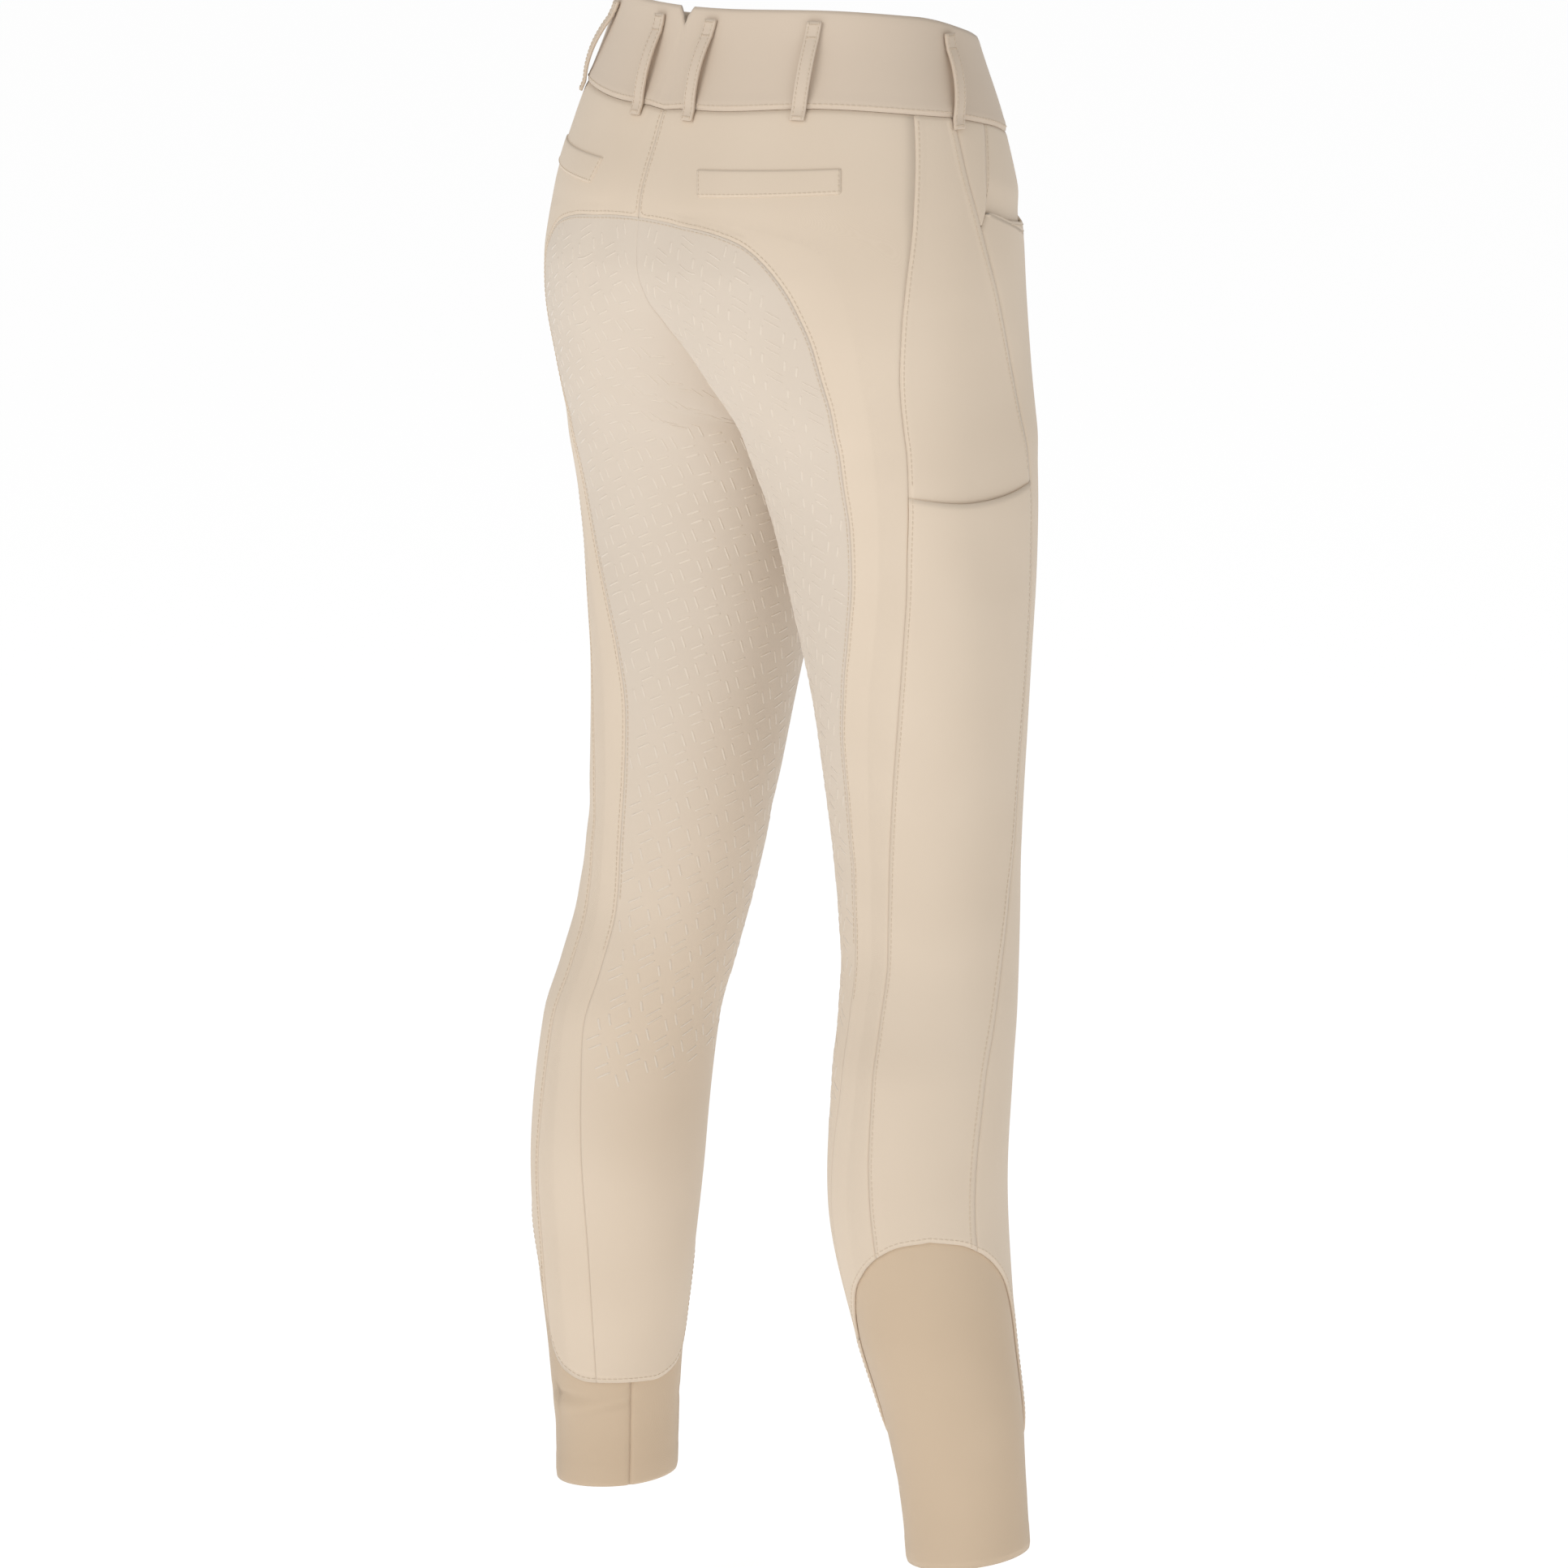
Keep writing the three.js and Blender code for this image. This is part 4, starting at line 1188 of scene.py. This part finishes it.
def band_point(around, over, notch, height, out):
    z = mix(band_seam(np.abs(around)) + BAND_GAP / 2, top_z(around) - notch, height)
    return cloth(around, z, BAND_OUT + over + out)


def make_band():
    around, over, notch = band_places()
    heights = np.linspace(0, 1, BAND_ROWS)[:, None]
    a = around[None, :] + 0 * heights
    from_foot = heights * BAND_DEPTH
    from_top = (1 - heights) * BAND_DEPTH
    out = -0.8 * np.exp(-((from_foot / 1.6) ** 2)) - 0.5 * np.exp(-((from_top / 1.2) ** 2))
    out = out + 0.25 * ease((from_foot - 0.8) / 1.5) * (1 - ease((from_foot - 6) / 2)) + 0.0 * a
    outer = band_point(a, over, notch, heights, out)
    inner = band_point(a, over, notch, heights, -BAND_WALL)
    pieces["waistband"] = wall_mesh("waistband", outer, inner, band_material)
    under = slice(0, len(around) - OVERLAP_COLUMNS)
    places = around[under], over[under], notch[under], BAND_SEAM_UP / BAND_DEPTH
    line = band_point(*places, 0.22)
    stitch_line("band", "left", line, band_point(*places, 1.22) - line)


def make_loop(name, side, around_top, around_foot):
    steps = 30
    part = np.linspace(0, 1, steps + 1)
    way = 1 if side == "left" else -1
    z = mix(float(top_z(way * around_top)) - LOOP_BELOW_TOP,
            float(band_seam(around_foot)) - LOOP_PAST_SEAM, part)
    around = mix(around_top, around_foot, part)
    rise = LOOP_STAND_OFF * np.sin(np.pi * np.clip((part - 0.12) / 0.76, 0, 1)) ** 0.8
    fold = 0.8 * (1 - ease((part - 0.13) / 0.03))
    out = BAND_OUT + LAYER_GAP + LOOP_WALL + rise + fold
    middle = cloth(around, z, out)
    ahead = unit(cloth(around + 0.004, z, out) - middle)
    normal = frame_at(around, z)[1]
    outer = [middle + ahead * s * LOOP_HALF_WIDTH + normal * h for s, h in LOOP_PROFILE]
    inner = [middle + ahead * s * LOOP_HALF_WIDTH - normal * LOOP_WALL for s, _ in LOOP_PROFILE]
    full_name = f"belt_loop_{name}_{side}"
    pieces[full_name] = wall_mesh(full_name, np.stack(outer, 1), np.stack(inner, 1),
                                  band_material, side == "right")
    for s in (-LOOP_SEAM, LOOP_SEAM):
        line = middle + ahead * s * LOOP_HALF_WIDTH
        stitch_line("band", side, line, normal, 2.9, 2.2, 0.1)
    length = np.linalg.norm(middle[-1] - middle[0])
    for at in (0.03, LOOP_TACK / length, 0.97):
        row = int(round(at * steps))
        across = np.linspace(-0.8, 0.8, 9)[:, None] * LOOP_HALF_WIDTH
        line = middle[row] + ahead[row] * across + normal[row] * 0.08
        normals = np.repeat(normal[row][None], 9, 0)
        stitch_line("band", side, line, normals, 1.1, 1.0, 0.12)


def make_fly():
    rows = 60
    columns = 26
    part = np.linspace(0, 1, rows + 1)
    cut = np.where(part < 0.7, 0, (np.clip(part - 0.7, 0, 1) / 0.3) ** 2 * 0.85)
    right_edge = FLY["right"] * (1 - cut)
    across = np.linspace(0, 1, columns + 1)[None, :]
    around = mix(-right_edge[:, None], FLY["left"], across)
    z = band_seam(np.abs(around)) - BAND_GAP / 2 - FLY["length"] * part[:, None]
    out = np.full(around.shape, FLY["gap"] + CLOTH_WALL)
    base = cloth(around, z, 0)
    for line in (base[:, 0], base[:, -1], base[-1]):
        out = out - 0.8 * np.exp(-((distance_to(base, line) / 1.2) ** 2))
    outer = cloth(around, z, out)
    inner = cloth(around, z, FLY["gap"])
    pieces["fly_placket"] = wall_mesh("fly_placket", outer, inner, cloth_material)
    gap = np.linalg.norm(outer - outer[:, :1], axis=2)[:-2]
    for inset in FLY["seams"]:
        i = np.nonzero(gap[:, -1] >= inset + 1)[0]
        j = np.argmax(gap[i] >= inset, axis=1)
        stitches["band"].along(outer[i, j], outer[i, j] - inner[i, j])


def make_button_details():
    z = mix(float(band_seam(BUTTON_AROUND)), float(band_top(BUTTON_AROUND)), 0.5)
    surface = BAND_OUT + BAND_WALL + LAYER_GAP
    a = np.array([BUTTON_AROUND])
    _, normal, along, _ = frame_at(a, np.array([z]))
    n = normal[0]
    e1 = unit(along[0])
    e2 = np.cross(n, e1)
    middle = cloth(a, np.array([z]), surface)[0] + n * 3.0
    starts = []
    ends = []
    for way in (1, -1):
        reach = (e1 * way + e2) * 1.5
        for shift in (-0.3, 0.3):
            aside = np.cross(n, unit(reach)) * shift
            starts.append(middle - reach + aside)
            ends.append(middle + reach + aside)
    stitches["band"].add(starts, ends, [n] * len(starts))
    slot_a = BUTTON_AROUND + 0.012
    line_a = np.linspace(slot_a, slot_a + 0.055, 30)
    for shift in (-1.0, 1.0):
        at = cloth(line_a, np.full(30, z + shift), surface + 0.05)
        ahead = cloth(line_a, np.full(30, z + shift), surface + 1.05)
        stitches["band"].along(at, ahead - at, 1.0, 1.2, 0.1)


make_band()
for name, left_top, left_foot, right_top, right_foot in LOOPS:
    make_loop(name, "left", left_top, left_foot)
    make_loop(name, "right", right_top, right_foot)
make_fly()
make_button_details()
for key in ("left", "right", "band"):
    pieces[f"stitching_{key}"] = stitches[key].mesh(f"stitching_{key}", thread_material)

# Slot, then for a sheet its flat cut in metres before it was sewn: width, length and area
PIECES = {
    "waistband": ["cloth", 0.75, 0.075, 0.046],
    "back": ["cloth", 0.17, 0.70, 0.042],
    "seat": ["grip", 0.26, 0.74, 0.103],
    "side_upper": ["cloth", 0.10, 0.25, 0.0187],
    "side_lower": ["cloth", 0.12, 0.46, 0.0415],
    "hip_strip": ["cloth", 0.025, 0.06, 0.0011],
    "hip_facing": ["cloth", 0.15, 0.075, 0.0092],
    "front": ["cloth", 0.22, 0.80, 0.102],
    "welt": ["cloth", 0.10, 0.017, 0.0016],
    "cuff": ["cuff", 0.26, 0.21, 0.035],
    "belt_loop": ["cloth", 0.01, 0.075, 0.00064],
    "fly_placket": ["cloth", 0.034, 0.105, 0.002],
    "grip_print": ["grip"],
    "stitching": ["cloth"],
}
for name, obj in pieces.items():
    slot, *flat = next(row for start, row in PIECES.items() if name.startswith(start))
    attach(obj, "root")
    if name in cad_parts:
        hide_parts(name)
    if flat:
        width, length, area = flat

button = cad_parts["button"]
button.data.materials.clear()
button.data.materials.append(button_material)


def add_floor():
    """A plain pale floor, lit from within a little so that it reads as white paper."""

    def nodes(tree, shader):
        shader.inputs["Base Color"].default_value = (FLOOR_TONE, FLOOR_TONE, FLOOR_TONE, 1)
        shader.inputs["Roughness"].default_value = 0.9
        shader.inputs["Specular IOR Level"].default_value = 0.0
        shader.inputs["Emission Color"].default_value = (1, 1, 1, 1)
        shader.inputs["Emission Strength"].default_value = FLOOR_GLOW

    signs = [(-1, -1), (1, -1), (1, 1), (-1, 1)]
    corners = [(x * FLOOR_SIZE, y * FLOOR_SIZE, FLOOR_Z) for x, y in signs]
    floor = new_mesh("studio_floor", corners, [(0, 1, 2, 3)], material("pale_floor", nodes),
                     smooth=False)


def aim_from(obj, aim, azimuth, elevation, distance):
    """Puts a lamp or the camera in the scene at this bearing and turns it to its aim."""
    bpy.context.scene.collection.objects.link(obj)
    a = math.radians(azimuth)
    e = math.radians(elevation)
    away = Vector((math.sin(a) * math.cos(e), -math.cos(a) * math.cos(e), math.sin(e)))
    obj.location = Vector(aim) + away * distance
    obj.rotation_euler = (-away).to_track_quat("-Z", "Y").to_euler()


def add_light(name, azimuth, elevation, distance, size, energy, colour):
    data = bpy.data.lights.new(name, "AREA")
    data.size = size
    data.energy = energy
    data.color = colour
    lamp = bpy.data.objects.new(name, data)
    aim_from(lamp, LIGHT_AIM, azimuth, elevation, distance)


def add_camera():
    data = bpy.data.cameras.new("camera")
    data.sensor_width = SENSOR
    data.lens = SENSOR * FOCAL_PIXELS / PHOTO_WIDTH
    data.shift_x = -8 / PHOTO_WIDTH
    data.shift_y = 2 / PHOTO_WIDTH
    data.clip_start = 0.1
    data.clip_end = 200
    camera = bpy.data.objects.new("camera", data)
    aim_from(camera, CAMERA_AIM, CAMERA_AZIMUTH, CAMERA_ELEVATION, CAMERA_DISTANCE)
    bpy.context.scene.camera = camera


def add_world():
    world = bpy.data.worlds.new("studio")
    bpy.context.scene.world = world
    world.use_nodes = True
    background = world.node_tree.nodes["Background"]
    background.inputs["Color"].default_value = (1.0, 1.0, 1.0, 1)
    background.inputs["Strength"].default_value = WORLD_STRENGTH


add_floor()
add_camera()
add_world()
add_light("key", 188, 30, 3.2, 1.8, 27, (1.0, 0.99, 0.98))
add_light("fill", 262, 14, 3.6, 2.4, 9, (1.0, 0.97, 0.93))
bpy.context.scene.view_settings.view_transform = "Standard"
